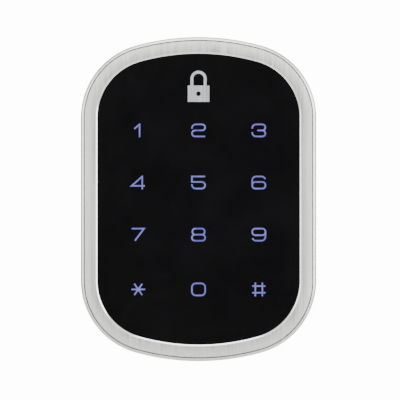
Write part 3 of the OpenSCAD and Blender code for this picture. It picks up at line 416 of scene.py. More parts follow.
legend_light, nodes, links, shader = new_material("legend_light", Emission_Strength=1.0, Roughness=0.2)
place = nodes.new("ShaderNodeTexCoord")
glow = add_noise(nodes, links, place.outputs["Object"], scale=420, detail=3).outputs["Fac"]
two_tones(nodes, links, glow, (0.10, 0.095, 0.50), (0.20, 0.19, 0.68), shader.inputs["Emission Color"])
two_tones(nodes, links, glow, (0.02, 0.02, 0.05), (0.04, 0.04, 0.08), shader.inputs["Base Color"])
dress("digit_windows", legend_light)

SIGN_SILVER = brushed_metal("sign_silver", (0.42, 0.43, 0.45), (0.58, 0.59, 0.61), 0.35, 0.5)
dress("padlock_sign", SIGN_SILVER)


# ---- Plastics and rubber ----
# Carriers, tray and insulator are moulded black ABS with a fine spark-eroded grain, the gearbox is
# grey nylon, and the bush, washer and gears are acetal. Gasket, seal and grommet are soft rubber.
def moulded_grain_group():
    """The fine pebbled grain that a mould leaves."""
    group, nodes, links, start, end = new_group("moulded_grain", {"Size": 2600}, ("Grain", "Cloud"))
    place = nodes.new("ShaderNodeTexCoord")
    pebbles = nodes.new("ShaderNodeTexVoronoi")
    links.new(start.outputs["Size"], pebbles.inputs["Scale"])
    links.new(place.outputs["Object"], pebbles.inputs["Vector"])
    cloud = add_noise(nodes, links, place.outputs["Object"], scale=150, detail=4)
    links.new(pebbles.outputs["Distance"], end.inputs["Grain"])
    links.new(cloud.outputs["Fac"], end.inputs["Cloud"])
    return group


MOULDED_GRAIN = moulded_grain_group()


def moulded(name, dark, light, rough_low, rough_high, size=2600, depth=0.25, rise=0.05 * MM, metal=0.0):
    """Anything with a pebbled skin and a cloudy tone: moulded plastic, rubber or cast metal."""
    material, nodes, links, shader = new_material(name, Metallic=metal)
    grain = group_node(nodes, MOULDED_GRAIN, Size=size)
    two_tones(nodes, links, grain.outputs["Cloud"], dark, light, shader.inputs["Base Color"])
    spread(nodes, links, grain.outputs["Cloud"], rough_low, rough_high, shader.inputs["Roughness"])
    add_bump(nodes, links, grain.outputs["Grain"], shader, depth, rise)
    return material


BLACK_PLASTIC = moulded("black_plastic", (0.010, 0.010, 0.011), (0.020, 0.020, 0.021), 0.42, 0.6)
GREY_PLASTIC = moulded("grey_plastic", (0.045, 0.048, 0.052), (0.075, 0.078, 0.083), 0.45, 0.62)
ACETAL = moulded("acetal", (0.66, 0.64, 0.56), (0.76, 0.74, 0.66), 0.3, 0.42, 4200, 0.1)
RUBBER = moulded("rubber", (0.012, 0.012, 0.012), (0.024, 0.023, 0.022), 0.6, 0.85, 1900, 0.35)
CLEAR_PLASTIC = moulded("clear_plastic", (0.72, 0.73, 0.74), (0.82, 0.83, 0.84), 0.2, 0.35, 3000, 0.08)
CHIP_BLACK = moulded("chip_black", (0.012, 0.012, 0.013), (0.03, 0.03, 0.032), 0.5, 0.7, 5200, 0.2)

for node in ("keypad_chassis", "terminal_insulator", "inside_chassis", "battery_tray"):
    dress(node, BLACK_PLASTIC)
for node in ("gearbox_base", "gearbox_lid", "tact_switch"):
    dress(node, GREY_PLASTIC)
for node in ("blade_bush", "idler_gear", "output_gear", "turn_washer", "keypad_connector", "main_connector"):
    dress(node, ACETAL)
for node in ("gasket", "panel_seal", "cable_grommet"):
    dress(node, RUBBER)
for node in ("diffuser_sheet", "light_guide"):
    dress(node, CLEAR_PLASTIC)
for node in ("keypad_chips", "buzzer", "main_chips", "hall_sensors"):
    dress(node, CHIP_BLACK)


# ---- Castings, pressed steel, brass and screws ----
# The back plate and the spindle are dull plated castings with a cloudy skin. The inside plate, the
# blade, springs and contacts are zinc-plated steel, and the screws and bolts are bright plated.
def cloudy_metal(name, dark, light, rough_low, rough_high, size, depth):
    """Metal without lines: cast, plated or rolled."""
    return moulded(name, dark, light, rough_low, rough_high, size, depth, 0.04 * MM, metal=1.0)


CAST_ZINC = cloudy_metal("cast_zinc", (0.30, 0.31, 0.32), (0.44, 0.45, 0.46), 0.42, 0.6, 1500, 0.3)
PLATED_STEEL = cloudy_metal("plated_steel", (0.52, 0.53, 0.54), (0.60, 0.60, 0.60), 0.34, 0.42, 1400, 0.06)
SCREW_METAL = cloudy_metal("screw_metal", (0.56, 0.57, 0.58), (0.72, 0.72, 0.72), 0.18, 0.3, 900, 0.08)
BRASS = cloudy_metal("brass", (0.62, 0.43, 0.17), (0.76, 0.56, 0.26), 0.22, 0.36, 900, 0.08)
TIN = cloudy_metal("tin_shield", (0.58, 0.59, 0.60), (0.72, 0.73, 0.74), 0.25, 0.4, 1200, 0.1)
MOTOR_CAN = brushed_metal("motor_can", (0.48, 0.49, 0.50), (0.62, 0.63, 0.64), 0.25, 0.4)

for node in ("back_plate", "spindle"):
    dress(node, CAST_ZINC)
for node in ("inside_plate", "torque_blade", "battery_springs", "battery_contacts", "spindle_clip"):
    dress(node, PLATED_STEEL)
for node in ("plate_screws", "keypad_board_screws", "unit_screws", "chassis_screws", "gearbox_screws",
             "main_board_screws", "idler_pin", "turn_set_screw"):
    dress(node, SCREW_METAL)
for node in ("terminal_studs", "motor_pinion"):
    dress(node, BRASS)
for node in ("radio_module", "position_magnet"):
    dress(node, TIN)
dress("gear_motor", MOTOR_CAN)


# ---- Circuit boards, lamps and film ----
# Glass-fibre boards with a green mask over copper tracks, twelve small lamps, and the amber film
# whose printed electrodes feel a finger through the panel.
def upright(nodes, links):
    """Object coordinates turned so that a flat pattern lies along the face of a board."""
    turned = nodes.new("ShaderNodeMapping")
    turned.inputs["Rotation"].default_value = (QUARTER_TURN, 0, 0)
    place = nodes.new("ShaderNodeTexCoord")
    links.new(place.outputs["Object"], turned.inputs["Vector"])
    return turned.outputs["Vector"]


board_green, nodes, links, shader = new_material("board_green", Roughness=0.3, Coat_Weight=0.3)
tracks = nodes.new("ShaderNodeTexBrick")
tracks.inputs["Scale"].default_value = 260
tracks.inputs["Mortar Size"].default_value = 0.06
tracks.inputs["Color1"].default_value = (0.012, 0.085, 0.03, 1)
tracks.inputs["Color2"].default_value = (0.010, 0.065, 0.025, 1)
tracks.inputs["Mortar"].default_value = (0.03, 0.17, 0.06, 1)
links.new(upright(nodes, links), tracks.inputs["Vector"])
links.new(tracks.outputs["Color"], shader.inputs["Base Color"])
add_bump(nodes, links, tracks.outputs["Fac"], shader, 0.3, 0.03 * MM)
for node in ("keypad_board", "main_board"):
    dress(node, board_green)

lamp_white, nodes, links, shader = new_material("lamp_white", Emission_Strength=1.5, Roughness=0.35)
cloud = group_node(nodes, MOULDED_GRAIN, Size=3000).outputs["Cloud"]
two_tones(nodes, links, cloud, (0.45, 0.45, 0.85), (0.6, 0.6, 1.0), shader.inputs["Emission Color"])
two_tones(nodes, links, cloud, (0.7, 0.7, 0.75), (0.8, 0.8, 0.85), shader.inputs["Base Color"])
dress("keypad_leds", lamp_white)

film_amber, nodes, links, shader = new_material("film_amber", Roughness=0.25, Coat_Weight=0.4)
cells = nodes.new("ShaderNodeTexBrick")
cells.offset = 0
cells.inputs["Scale"].default_value = 45
cells.inputs["Mortar Size"].default_value = 0.012
cells.inputs["Brick Width"].default_value = 0.2
cells.inputs["Row Height"].default_value = 0.2
cells.inputs["Color1"].default_value = (0.50, 0.31, 0.09, 1)
cells.inputs["Color2"].default_value = (0.46, 0.28, 0.08, 1)
cells.inputs["Mortar"].default_value = (0.25, 0.13, 0.03, 1)
links.new(upright(nodes, links), cells.inputs["Vector"])
links.new(cells.outputs["Color"], shader.inputs["Base Color"])
dress("touch_sensor_film", film_amber)


# ---- Through bolts and lead ----
# Two plated steel bolts clamp the units on the door, their last stretch cut with a real thread.
# The lead is a round rubber-sheathed cable that runs above the latch from board to board.
bolt_low, bolt_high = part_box("through_bolts")
BOLT_R = 2.5 * MM
HEAD_R = (bolt_high[2] - bolt_low[2]) / 2
BOLT_X = bolt_high[0] - HEAD_R
HEAD_T = 3 * MM
HEAD_SIDE = 1.6 * MM
DOME_DROP = 0.7 * MM
DOME_EDGE = 0.25 * MM
DRIVE_R = 1.3 * MM
DRIVE_TAPER = 0.3 * MM
DRIVE_DEPTH = 0.9 * MM
DRIVE_BREAK = 0.15 * MM
SEAT_BREAK = 0.2 * MM
THREAD_PITCH = 0.8 * MM
THREAD_ROOT = 0.35 * MM
THREAD_LEN = 26 * MM
THREAD_STEPS = 20
RUN_OUT = 0.3 * MM
POINT_LEN = 0.6 * MM


def add_turned(bm, points, axis, centre, steps):
    """A row of points spun right round an axis, closed at its poles."""
    verts = [bm.verts.new(point) for point in points]
    edges = [bm.edges.new(pair) for pair in zip(verts, verts[1:])]
    bmesh.ops.spin(
        bm, geom=verts + edges, cent=centre, axis=axis, angle=2 * math.pi, steps=steps, use_merge=True
    )


tip_y, crown_y = bolt_low[1], bolt_high[1]
seat_y = crown_y - HEAD_T
thread_end_y = tip_y + THREAD_LEN
root_r = BOLT_R - THREAD_ROOT
bolt_outline = [
    (0, crown_y - DRIVE_DEPTH), (DRIVE_R - DRIVE_TAPER, crown_y - DRIVE_DEPTH),
    (DRIVE_R, crown_y - DRIVE_BREAK), (HEAD_R - DRIVE_DEPTH, crown_y),
    (HEAD_R - DOME_EDGE, crown_y - DOME_DROP), (HEAD_R, crown_y - HEAD_SIDE),
    (HEAD_R, seat_y + SEAT_BREAK), (HEAD_R - SEAT_BREAK, seat_y), (BOLT_R, seat_y),
    (BOLT_R, thread_end_y + RUN_OUT), (root_r, thread_end_y), (root_r, tip_y + POINT_LEN),
    (BOLT_R - 2.2 * THREAD_ROOT, tip_y), (0, tip_y),
]
thread_turns = int((THREAD_LEN - 2 * THREAD_PITCH) / THREAD_PITCH)
thread_y = tip_y + 0.5 * MM
buried_r = BOLT_R - 1.15 * THREAD_ROOT
ridge = [
    (buried_r, thread_y), (BOLT_R, thread_y + 0.3 * THREAD_PITCH),
    (BOLT_R, thread_y + 0.45 * THREAD_PITCH), (buried_r, thread_y + 0.8 * THREAD_PITCH),
]
bm = bmesh.new()
for side in (-1, 1):
    centre = Vector((side * BOLT_X, 0, 0))
    add_turned(bm, [centre + Vector((r, y, 0)) for r, y in bolt_outline], (0, 1, 0), centre, 48)
    rib = bm.faces.new([bm.verts.new(centre + Vector((r, y, 0))) for r, y in ridge])
    bmesh.ops.spin(
        bm, geom=[rib], cent=centre, axis=(0, 1, 0), dvec=(0, THREAD_PITCH / THREAD_STEPS, 0),
        angle=2 * math.pi * thread_turns, steps=THREAD_STEPS * thread_turns,
    )
finish_piece("through_bolt_pair", bm, [SCREW_METAL], "lock_case", "through_bolts")

# The lead's sheath and its route, each point a depth and a height in millimetres
CABLE_SHEATH = moulded("cable_sheath", (0.014, 0.014, 0.015), (0.022, 0.022, 0.023), 0.38, 0.5, 900, 0.03)
LEAD_R = 1.6 * MM
LEAD_ROUTE = [
    (-8.8, 30), (-8.8, 27), (-8.5, 24.5), (-7.4, 22.1), (-5.6, 20.4), (-3.4, 19.5), (0, 19.3), (7, 19.3),
    (14, 19.3), (21, 19.3), (28, 19.3), (35, 19.3), (42, 19.3), (47, 19.4), (50, 20), (52.5, 21.4),
    (54.5, 22.4), (56.5, 22.7), (58, 22.7),
]
route = bpy.data.curves.new("lead_route", "CURVE")
route.dimensions = "3D"
route.bevel_depth = LEAD_R
route.bevel_resolution = 6
route.resolution_u = 6
route.use_fill_caps = True
spline = route.splines.new("NURBS")
spline.points.add(len(LEAD_ROUTE) - 1)
for point, (y, z) in zip(spline.points, LEAD_ROUTE):
    point.co = (0, y * MM, z * MM, 1)
spline.order_u = 3
spline.use_endpoint_u = True
route_object = bpy.data.objects.new("lead_route", route)
bpy.context.scene.collection.objects.link(route_object)
bpy.context.view_layer.update()
depsgraph = bpy.context.evaluated_depsgraph_get()
bm = bmesh.new()
bm.from_mesh(bpy.data.meshes.new_from_object(route_object.evaluated_get(depsgraph)))
bpy.data.objects.remove(route_object)
finish_piece("lead", bm, [CABLE_SHEATH], "lock_case", "lead_cable", sharp=40)


# ---- Inside housing and battery cover ----
# Both are zinc castings with satin nickel plating, of one form parted along a fine line. Two long
# screws hold the housing on its plate, and the cover slides up the housing's rails and off.
house_low, house_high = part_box("inside_housing")
cover_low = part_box("battery_cover")[0]
HOUSE_INSET = FACE_HALF_W - (house_high[0] - house_low[0]) / 2
HOUSE_WALL = 2.2 * MM
HOUSE_ROUND = 3 * MM
COVER_T = 1.9 * MM
COVER_BREAK = 0.18 * MM
RIM_BREAK = 0.2 * MM
SKIN_BORDER = 0.5 * MM
ROUND_STEPS = 8
PART_GAP = 0.3 * MM
ROOM = 0.2  # large enough to reach right round the lock
house_front = house_high[1]
house_back = house_low[1]
cover_rim = cover_low[1] - PART_GAP
part_z = cover_low[2] - PART_GAP


def inside_shell(name, skin, body, node):
    """The whole inside form as one thick shell, its front skin this thick."""
    outer = [(HOUSE_INSET + RIM_BREAK, house_back), (HOUSE_INSET, house_back + RIM_BREAK)]
    for i in range(ROUND_STEPS + 1):
        a = QUARTER_TURN * i / ROUND_STEPS
        outer.append((
            HOUSE_INSET + HOUSE_ROUND * (1 - math.cos(a)), house_front - HOUSE_ROUND * (1 - math.sin(a))
        ))
    outer.append((HOUSE_INSET + HOUSE_ROUND + SKIN_BORDER, house_front))
    inner_inset = HOUSE_INSET + HOUSE_WALL
    inner_y = house_front - skin
    inner = [(inner_inset + SKIN_BORDER, inner_y), (inner_inset, inner_y), (inner_inset, house_back)]
    bm = bmesh.new()
    near, far = outline_walls(bm, outer, closed=False)
    bmesh.ops.contextual_create(bm, geom=far)
    inside_near, inside_far = outline_walls(bm, inner, closed=False)
    bmesh.ops.contextual_create(bm, geom=inside_near)
    bmesh.ops.bridge_loops(bm, edges=near + inside_far)
    return finish_piece(name, bm, [SATIN_NICKEL], body, node)


housing = inside_shell("inside_housing_shell", HOUSE_WALL, "lock_case", "inside_housing")
bm = bmesh.new()
add_box(bm, (-ROOM, cover_rim, part_z), (ROOM, ROOM, ROOM))
carve(housing, tool_from(bm))

# What the housing carries inside: the screw tubes and bosses, the wall under the cells, the
# button's guide, and a hooked rail on each side for the cover's tongues
TUBE_R = 4 * MM
TUBE_BORE_R = 2.15 * MM
TUBE_SHORT = 2.7 * MM
BOSS_R = 3 * MM
BOSS_BORE_R = 1.3 * MM
BOSS_BORE_LEN = 9 * MM
BOSS_SHORT = 4 * MM
FLOOR_WALL_T = 1.4 * MM
SIDE_BOSS_Z = 10 * MM
TOP_BOSS_X = 12 * MM
GUIDE_BORE_R = 5.45 * MM
GUIDE_R = 6.55 * MM
GUIDE_LEN = 7 * MM
BUTTON_R = 4 * MM
SPINDLE_R = 6 * MM
RAIL_FOOT = 3.5 * MM
RAIL_FOOT_T = 4 * MM
RAIL_HIGH = 7 * MM
WEB_T = 1.3 * MM
HOOK_T = MM
TONGUE_REACH = 1.6 * MM
TONGUE_T = 0.8 * MM
TONGUE_RISE = 0.5 * MM
OVERLAP = 0.1 * MM
SUNK_IN = 0.2 * MM
CHASSIS_SCREW_R = 2.5 * MM
wall_x = FACE_HALF_W - HOUSE_INSET - HOUSE_WALL
skin_y = house_front - HOUSE_WALL
button_low, button_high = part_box("privacy_button")
button_z = (button_low[2] + button_high[2]) / 2
screw_low, screw_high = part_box("unit_screws")
tube_x = wall_x - TUBE_R + SUNK_IN
tube_z = (screw_low[2] + screw_high[2]) / 2
tube_y = cover_rim - TUBE_SHORT
floor_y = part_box("battery_tray")[0][1]
top_boss_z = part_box("chassis_screws")[1][2] - CHASSIS_SCREW_R
boss_at = [(side * (wall_x - BOSS_R + PART_GAP), SIDE_BOSS_Z, skin_y + OVERLAP) for side in (-1, 1)]
boss_at += [(side * TOP_BOSS_X, top_boss_z, cover_rim - BOSS_SHORT) for side in (-1, 1)]
rail_low = tube_z + TUBE_R + BEYOND
hook_y = cover_rim + TONGUE_RISE + TONGUE_T + PART_GAP
web_x = wall_x - 2 * PART_GAP - TONGUE_REACH + OVERLAP


def add_rail_boxes(bm, x0, x1, y0, y1):
    """A box as high as the rails on each side, x0 and x1 measured from the middle."""
    for side in (-1, 1):
        left, right = sorted((side * x0, side * x1))
        add_box(bm, (left, y0, rail_low), (right, y1, rail_low + RAIL_HIGH))


bm = bmesh.new()
for side in (-1, 1):
    add_rod(bm, TUBE_R, floor_y, tube_y, side * tube_x, tube_z)
for x, z, y in boss_at:
    add_rod(bm, BOSS_R, floor_y, y, x, z)
add_rod(bm, GUIDE_R, skin_y - GUIDE_LEN, skin_y + OVERLAP, 0, button_z)
add_rail_boxes(bm, wall_x + SUNK_IN - RAIL_FOOT, wall_x + SUNK_IN, cover_rim - RAIL_FOOT_T, cover_rim)
floor_wall_low = (-wall_x - OVERLAP, floor_y + PART_GAP, part_z - FLOOR_WALL_T)
add_box(bm, floor_wall_low, (wall_x + OVERLAP, skin_y + OVERLAP, part_z))
carve(housing, tool_from(bm), "UNION")
bm = bmesh.new()
add_rail_boxes(bm, web_x - WEB_T, web_x, cover_rim - HOOK_T, hook_y + OVERLAP)
carve(housing, tool_from(bm), "UNION")
bm = bmesh.new()
add_rail_boxes(bm, web_x - WEB_T, web_x + TONGUE_REACH, hook_y, hook_y + HOOK_T)
carve(housing, tool_from(bm), "UNION")
bm = bmesh.new()
for side in (-1, 1):
    add_rod(bm, TUBE_BORE_R, floor_y - BEYOND, tube_y + BEYOND, side * tube_x, tube_z)
for x, z, y in boss_at:
    add_rod(bm, BOSS_BORE_R, floor_y - BEYOND, floor_y + BOSS_BORE_LEN, x, z)
add_rod(bm, GUIDE_BORE_R, skin_y - GUIDE_LEN - BEYOND, skin_y, 0, button_z)
carve(housing, tool_from(bm))
bm = bmesh.new()
add_rod(bm, SPINDLE_R + PART_GAP, skin_y - BEYOND, house_front + BEYOND, 0, 0)
add_rod(bm, BUTTON_R + PART_GAP / 2, skin_y - BEYOND, house_front + BEYOND, 0, button_z)
carve(housing, tool_from(bm))

cover = inside_shell("battery_cover_shell", COVER_T, "battery_cover", "battery_cover")
bm = bmesh.new()
add_box(bm, (-ROOM, cover_low[1], cover_low[2]), (ROOM, ROOM, ROOM))
carve(cover, tool_from(bm), "INTERSECT")
bm = bmesh.new()
tongue_y = cover_rim + TONGUE_RISE
add_rail_boxes(bm, wall_x - TONGUE_REACH, wall_x + PART_GAP, tongue_y, tongue_y + TONGUE_T)
carve(cover, tool_from(bm), "UNION")
cut_edge = cover.modifiers.new("broken_edge", "BEVEL")
cut_edge.width = COVER_BREAK
cut_edge.segments = 2
cut_edge.limit_method = "ANGLE"
cut_edge.angle_limit = math.radians(50)


# ---- Batteries ----
# Four AA cells in plain blue wraps: a steel can with a rolled edge, a raised cap at one end and a
# flat base at the other. A pale band marks the cap's end.
def battery_material(way):
    """The wrap's bands run along the cell, so each of the two ways a cell lies has its own."""
    name = "cell_wrap_right" if way > 0 else "cell_wrap_left"
    material, nodes, links, shader = new_material(name, Coat_Weight=0.35, Coat_Roughness=0.1)
    place = nodes.new("ShaderNodeTexCoord")
    split = nodes.new("ShaderNodeSeparateXYZ")
    links.new(place.outputs["Object"], split.inputs["Vector"])
    facing = nodes.new("ShaderNodeMath")
    facing.operation = "MULTIPLY"
    facing.inputs[1].default_value = way
    links.new(split.outputs["X"], facing.inputs[0])
    bands = spread(nodes, links, facing.outputs["Value"], 0, 1, None, -BAND_REACH, BAND_REACH)
    ramp = nodes.new("ShaderNodeValToRGB")
    ramp.color_ramp.interpolation = "CONSTANT"
    ramp.color_ramp.elements[0].color = (0.012, 0.05, 0.13, 1)
    ramp.color_ramp.elements[1].position = 0.72
    ramp.color_ramp.elements[1].color = (0.50, 0.52, 0.55, 1)
    stripe = ramp.color_ramp.elements.new(0.75)
    stripe.color = (0.035, 0.13, 0.30, 1)
    links.new(bands.outputs["Result"], ramp.inputs["Fac"])
    links.new(ramp.outputs["Color"], shader.inputs["Base Color"])
    smear = group_node(nodes, SMEARS, Size=90)
    spread(nodes, links, smear.outputs["Smear"], 0.25, 0.45, shader.inputs["Roughness"])
    return material


BAND_REACH = 27.5 * MM
CELL_R = 7.25 * MM
CELL_EDGE = 0.7 * MM
WRAP_EDGE = 0.65 * MM
BASE_RIM_W = 1.2 * MM
BASE_STEP = 0.1 * MM
BASE_SINK = 0.25 * MM
BASE_ROUND = 0.6 * MM
CAP_R = 2.75 * MM
CAP_LEN = 1.3 * MM
CAP_ROUND = 0.25 * MM
CAP_FOOT = 0.3 * MM
CRIMP = 0.4 * MM
WRAPS = {way: battery_material(way) for way in (-1, 1)}
for number, way in ((1, 1), (2, -1), (3, -1), (4, 1)):
    node = "battery_%d" % number
    low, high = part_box(node)
    cell_y, cell_z = (low[1] + high[1]) / 2, (low[2] + high[2]) / 2
    flat, cap = (low[0], high[0]) if way > 0 else (high[0], low[0])
    shoulder = cap - way * CAP_LEN
    cell_outline = [
        (0, flat), (CELL_R - BASE_RIM_W - BASE_STEP, flat), (CELL_R - BASE_RIM_W, flat + way * BASE_SINK),
        (CELL_R - BASE_ROUND, flat + way * BASE_STEP / 2), (CELL_R, flat + way * BASE_ROUND),
        (CELL_R, shoulder - way * CELL_EDGE), (CELL_R - CELL_EDGE, shoulder),
        (CELL_R - 2 * CELL_EDGE, shoulder), (CELL_R - 2 * CELL_EDGE - CRIMP, shoulder - way * CRIMP),
        (CAP_R + CAP_FOOT, shoulder - way * CRIMP), (CAP_R, shoulder), (CAP_R, cap - way * CAP_ROUND),
        (CAP_R - CAP_ROUND, cap), (0, cap),
    ]
    bm = bmesh.new()
    points = [(x, cell_y + r, cell_z) for r, x in cell_outline]
    add_turned(bm, points, (1, 0, 0), (0, cell_y, cell_z), 56)
    for face in bm.faces:
        reach = max((v.co - Vector((v.co.x, cell_y, cell_z))).length for v in face.verts)
        face.material_index = 0 if reach > CELL_R - WRAP_EDGE else 1
    finish_piece("cell_%d" % number, bm, [WRAPS[way], SCREW_METAL], "lock_case", node)


# ---- Thumb turn and privacy button ----
# The turn is a satin nickel casting: a round base with a grip, fullest over the spindle's square
# end, fixed by a set screw in its rim. The button is dished black plastic.
turn_low, turn_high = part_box("thumb_turn")
HUB_R = 15 * MM
HUB_T = 4.5 * MM
HUB_ROUND = 1.4 * MM
HUB_BREAK = 0.3 * MM
HUB_FLAT_R = 11.8 * MM
HUB_STEPS = 6
TURN_SHARP = 35
base_y, grip_y = turn_low[1], turn_high[1]
hub_y = base_y + HUB_T
hub_outline = [(0, hub_y - HUB_BREAK), (HUB_FLAT_R, hub_y)]
for i in range(HUB_STEPS + 1):
    a = QUARTER_TURN * i / HUB_STEPS
    hub_outline.append((HUB_R - HUB_ROUND * (1 - math.sin(a)), hub_y - HUB_ROUND * (1 - math.cos(a))))
hub_outline += [(HUB_R, base_y + HUB_BREAK), (HUB_R - HUB_BREAK, base_y), (0, base_y)]
bm = bmesh.new()
add_turned(bm, [(r, y, 0) for r, y in hub_outline], (0, 1, 0), (0, 0, 0), 96)
thumb_piece = finish_piece(
    "thumb_turn_grip", bm, [SATIN_NICKEL], "turn", "thumb_turn", TURN_SHARP
)

# The grip is a long oval drawn out from the hub, each station a share of its height and width
GRIP_R = 4.5 * MM
GRIP_HALF = (turn_high[2] - turn_low[2]) / 2 - GRIP_R
GRIP_CUTS = 11
BULGE = 0.18
BULGE_LEN = 9 * MM
TOP_STEPS = 5
TOP_FROM = 0.86
TOP_WIDTH = 0.92
TOP_CLOSE = 0.30
grip_stations = [(0.12, 1.0), (0.55, 0.94), (TOP_FROM, TOP_WIDTH)]
for i in range(1, TOP_STEPS + 1):
    a = QUARTER_TURN * i / TOP_STEPS
    grip_stations.append((
        TOP_FROM + (1 - TOP_FROM) * math.sin(a), TOP_WIDTH - TOP_CLOSE * (1 - math.cos(a))
    ))
foot_y = hub_y - BEYOND
bm = bmesh.new()
bmesh.ops.create_circle(
    bm, cap_ends=False, segments=48, radius=GRIP_R,
    matrix=Matrix.Translation((0, foot_y, 0)) @ Matrix.Rotation(QUARTER_TURN, 4, "X"),
)
for vert in bm.verts:
    if abs(vert.co.z) > 0.01 * MM:
        vert.co.z += math.copysign(GRIP_HALF, vert.co.z)
long_edges = [e for e in bm.edges if e.calc_length() > GRIP_HALF / 2]
bmesh.ops.subdivide_edges(bm, edges=long_edges, cuts=GRIP_CUTS)
for vert in bm.verts:
    vert.co.x *= 1 + BULGE * math.exp(-(vert.co.z / BULGE_LEN) ** 2)
loop = list(bm.edges)
bmesh.ops.contextual_create(bm, geom=loop)
last_width = 1
for height, width in grip_stations:
    grown = bmesh.ops.extrude_edge_only(bm, edges=loop)["geom"]
    loop = [e for e in grown if isinstance(e, bmesh.types.BMEdge)]
    for vert in {v for e in loop for v in e.verts}:
        vert.co.y = foot_y + (grip_y - foot_y) * height
        out = Vector((vert.co.x, 0, vert.co.z - max(-GRIP_HALF, min(GRIP_HALF, vert.co.z))))
        vert.co -= out.normalized() * (last_width - width) * GRIP_R
    last_width = width
bmesh.ops.contextual_create(bm, geom=loop)
carve(thumb_piece, tool_from(bm), "UNION", TURN_SHARP)

# The hole for the set screw, from the hub's rim towards the spindle
SET_HOLE_R = 1.55 * MM
SET_HOLE_LEN = 12 * MM
set_low, set_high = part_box("turn_set_screw")
set_place = Matrix.Translation((SET_HOLE_LEN, (set_low[1] + set_high[1]) / 2, 0))
bm = bmesh.new()
bmesh.ops.create_cone(
    bm, cap_ends=True, segments=32, radius1=SET_HOLE_R, radius2=SET_HOLE_R, depth=SET_HOLE_LEN,
    matrix=set_place @ Matrix.Rotation(QUARTER_TURN, 4, "Y"),
)
carve(thumb_piece, tool_from(bm), sharp=TURN_SHARP)

# The button's dished face, each point a radius and a depth in millimetres, then its flange and stem
BUTTON_DISH = (
    (0, 0.35), (1.2, 0.32), (2.2, 0.2), (3.0, 0.03), (3.3, 0.0), (3.7, 0.08), (3.93, 0.3), (4.0, 0.6)
)
FLANGE_R = 5.3 * MM
FLANGE_T = 1.3 * MM
STEM_R = 1.5 * MM
flange_y = skin_y - PART_GAP
button_outline = [(r * MM, button_high[1] - depth * MM) for r, depth in BUTTON_DISH]
button_outline += [
    (BUTTON_R, flange_y), (FLANGE_R, flange_y), (FLANGE_R, flange_y - FLANGE_T),
    (STEM_R, flange_y - FLANGE_T), (STEM_R, button_low[1]), (0, button_low[1]),
]
bm = bmesh.new()
add_turned(bm, [(r, y, button_z) for r, y in button_outline], (0, 1, 0), (0, 0, button_z), 64)
finish_piece("privacy_button_cap", bm, [BLACK_PLASTIC], "privacy_button", "privacy_button")


# ---- Floor, light and camera ----
# A pale floor well below the lock, which fades out and is clear from beneath, soft light that is
# brightest from above and the sides, and a long lens straight in front of the keypad unit.
FLOOR_Y = 0.03
FLOOR_Z = -0.085
FLOOR_R = 0.50
FLOOR_FADE = 0.12
BACKDROP_STRENGTH = 14
LIGHTS_AIM = Vector((0, 0.02, FACE_MID_Z))
bm = bmesh.new()
floor_place = Matrix.Translation((0, FLOOR_Y, FLOOR_Z))
bmesh.ops.create_circle(bm, cap_ends=True, segments=96, radius=FLOOR_R, matrix=floor_place)
floor_mesh = bpy.data.meshes.new("floor")
bm.to_mesh(floor_mesh)
bm.free()
floor = bpy.data.objects.new("floor", floor_mesh)
bpy.context.scene.collection.objects.link(floor)
floor_pale, nodes, links, shader = new_material("floor_pale")
place = nodes.new("ShaderNodeTexCoord")
reach = nodes.new("ShaderNodeVectorMath")
reach.operation = "LENGTH"
links.new(place.outputs["Object"], reach.inputs[0])
side = nodes.new("ShaderNodeNewGeometry")
upper = nodes.new("ShaderNodeMath")
upper.operation = "SUBTRACT"
upper.inputs[0].default_value = 1
links.new(side.outputs["Backfacing"], upper.inputs[1])
seen_from_above = nodes.new("ShaderNodeMath")
seen_from_above.operation = "MULTIPLY"
links.new(upper.outputs["Value"], seen_from_above.inputs[0])
links.new(seen_from_above.outputs["Value"], shader.inputs["Alpha"])
edge = spread(nodes, links, reach.outputs["Value"], 1, 0, seen_from_above.inputs[1], FLOOR_FADE, FLOOR_R)
edge.interpolation_type = "SMOOTHSTEP"
speckle = add_noise(nodes, links, place.outputs["Object"], scale=260, detail=4).outputs["Fac"]
two_tones(nodes, links, speckle, (0.84, 0.84, 0.84), (0.90, 0.90, 0.90), shader.inputs["Base Color"])
spread(nodes, links, speckle, 0.7, 0.9, shader.inputs["Roughness"])
floor_mesh.materials.append(floor_pale)

world = bpy.data.worlds.new("studio")
bpy.context.scene.world = world
world.use_nodes = True
nodes, links = world.node_tree.nodes, world.node_tree.links
nodes.clear()
place = nodes.new("ShaderNodeTexCoord")
split = nodes.new("ShaderNodeSeparateXYZ")
links.new(place.outputs["Generated"], split.inputs["Vector"])


def fade(source, from_low, from_high, low, high):
    """A smooth change of strength along one direction of the sky."""
    made = nodes.new("ShaderNodeMapRange")
    made.interpolation_type = "SMOOTHSTEP"
    made.inputs["From Min"].default_value = from_low
    made.inputs["From Max"].default_value = from_high
    made.inputs["To Min"].default_value = low
    made.inputs["To Max"].default_value = high
    links.new(source, made.inputs["Value"])
    return made.outputs["Result"]


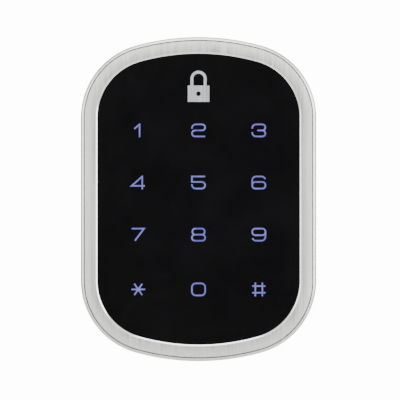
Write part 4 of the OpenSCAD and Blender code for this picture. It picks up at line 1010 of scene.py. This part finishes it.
# Dim straight in front, so that the black panel stays black, brightest in a ring round that,
# and plain towards the sides and the back
strength = fade(split.outputs["Z"], -0.9, 0.9, 0.8, 1.15)
for part in (
    fade(split.outputs["Y"], -0.996, -0.94, 0.045, 1.0),
    fade(split.outputs["Y"], -0.75, -0.1, 2.75, 0.9),
):
    product = nodes.new("ShaderNodeMath")
    product.operation = "MULTIPLY"
    links.new(strength, product.inputs[0])
    links.new(part, product.inputs[1])
    strength = product.outputs["Value"]
lighting = nodes.new("ShaderNodeBackground")
links.new(strength, lighting.inputs["Strength"])
backdrop = nodes.new("ShaderNodeBackground")
backdrop.inputs["Color"].default_value = (1, 1, 1, 1)
backdrop.inputs["Strength"].default_value = BACKDROP_STRENGTH
seen = nodes.new("ShaderNodeLightPath")
choose = nodes.new("ShaderNodeMixShader")
links.new(seen.outputs["Is Camera Ray"], choose.inputs["Fac"])
links.new(lighting.outputs["Background"], choose.inputs[1])
links.new(backdrop.outputs["Background"], choose.inputs[2])
output = nodes.new("ShaderNodeOutputWorld")
links.new(choose.outputs["Shader"], output.inputs["Surface"])


def softbox(name, place, size, power):
    """A large soft lamp aimed at the middle of the lock."""
    lamp = bpy.data.lights.new(name, "AREA")
    lamp.shape = "SQUARE"
    lamp.size = size
    lamp.energy = power
    lamp_object = bpy.data.objects.new(name, lamp)
    aim = LIGHTS_AIM - Vector(place)
    lamp_object.location = place
    lamp_object.rotation_euler = aim.to_track_quat("-Z", "Y").to_euler()
    bpy.context.scene.collection.objects.link(lamp_object)


softbox("softbox_left", (-0.75, -0.50, 0.20), 0.5, 2.6)
softbox("softbox_right", (0.75, -0.45, 0.20), 0.6, 7.0)
softbox("softbox_top", (0.0, -0.45, 0.85), 0.6, 5.0)
softbox("softbox_back", (0.25, 0.95, 0.45), 0.6, 3.0)

VIEW_W = 137.3 * MM
SENSOR = 36.0
CAMERA_GAP = 1.5
CAMERA_X = 0.5 * MM
CAMERA_DROP = 0.3 * MM
lens = bpy.data.cameras.new("camera")
lens.sensor_width = SENSOR
lens.lens = SENSOR * CAMERA_GAP / VIEW_W
lens.clip_start = 0.05
lens.clip_end = 20
camera = bpy.data.objects.new("camera", lens)
camera.location = (CAMERA_X, FACE_Y - CAMERA_GAP, FACE_MID_Z - CAMERA_DROP)
camera.rotation_euler = (QUARTER_TURN, 0, 0)
bpy.context.scene.collection.objects.link(camera)
bpy.context.scene.camera = camera
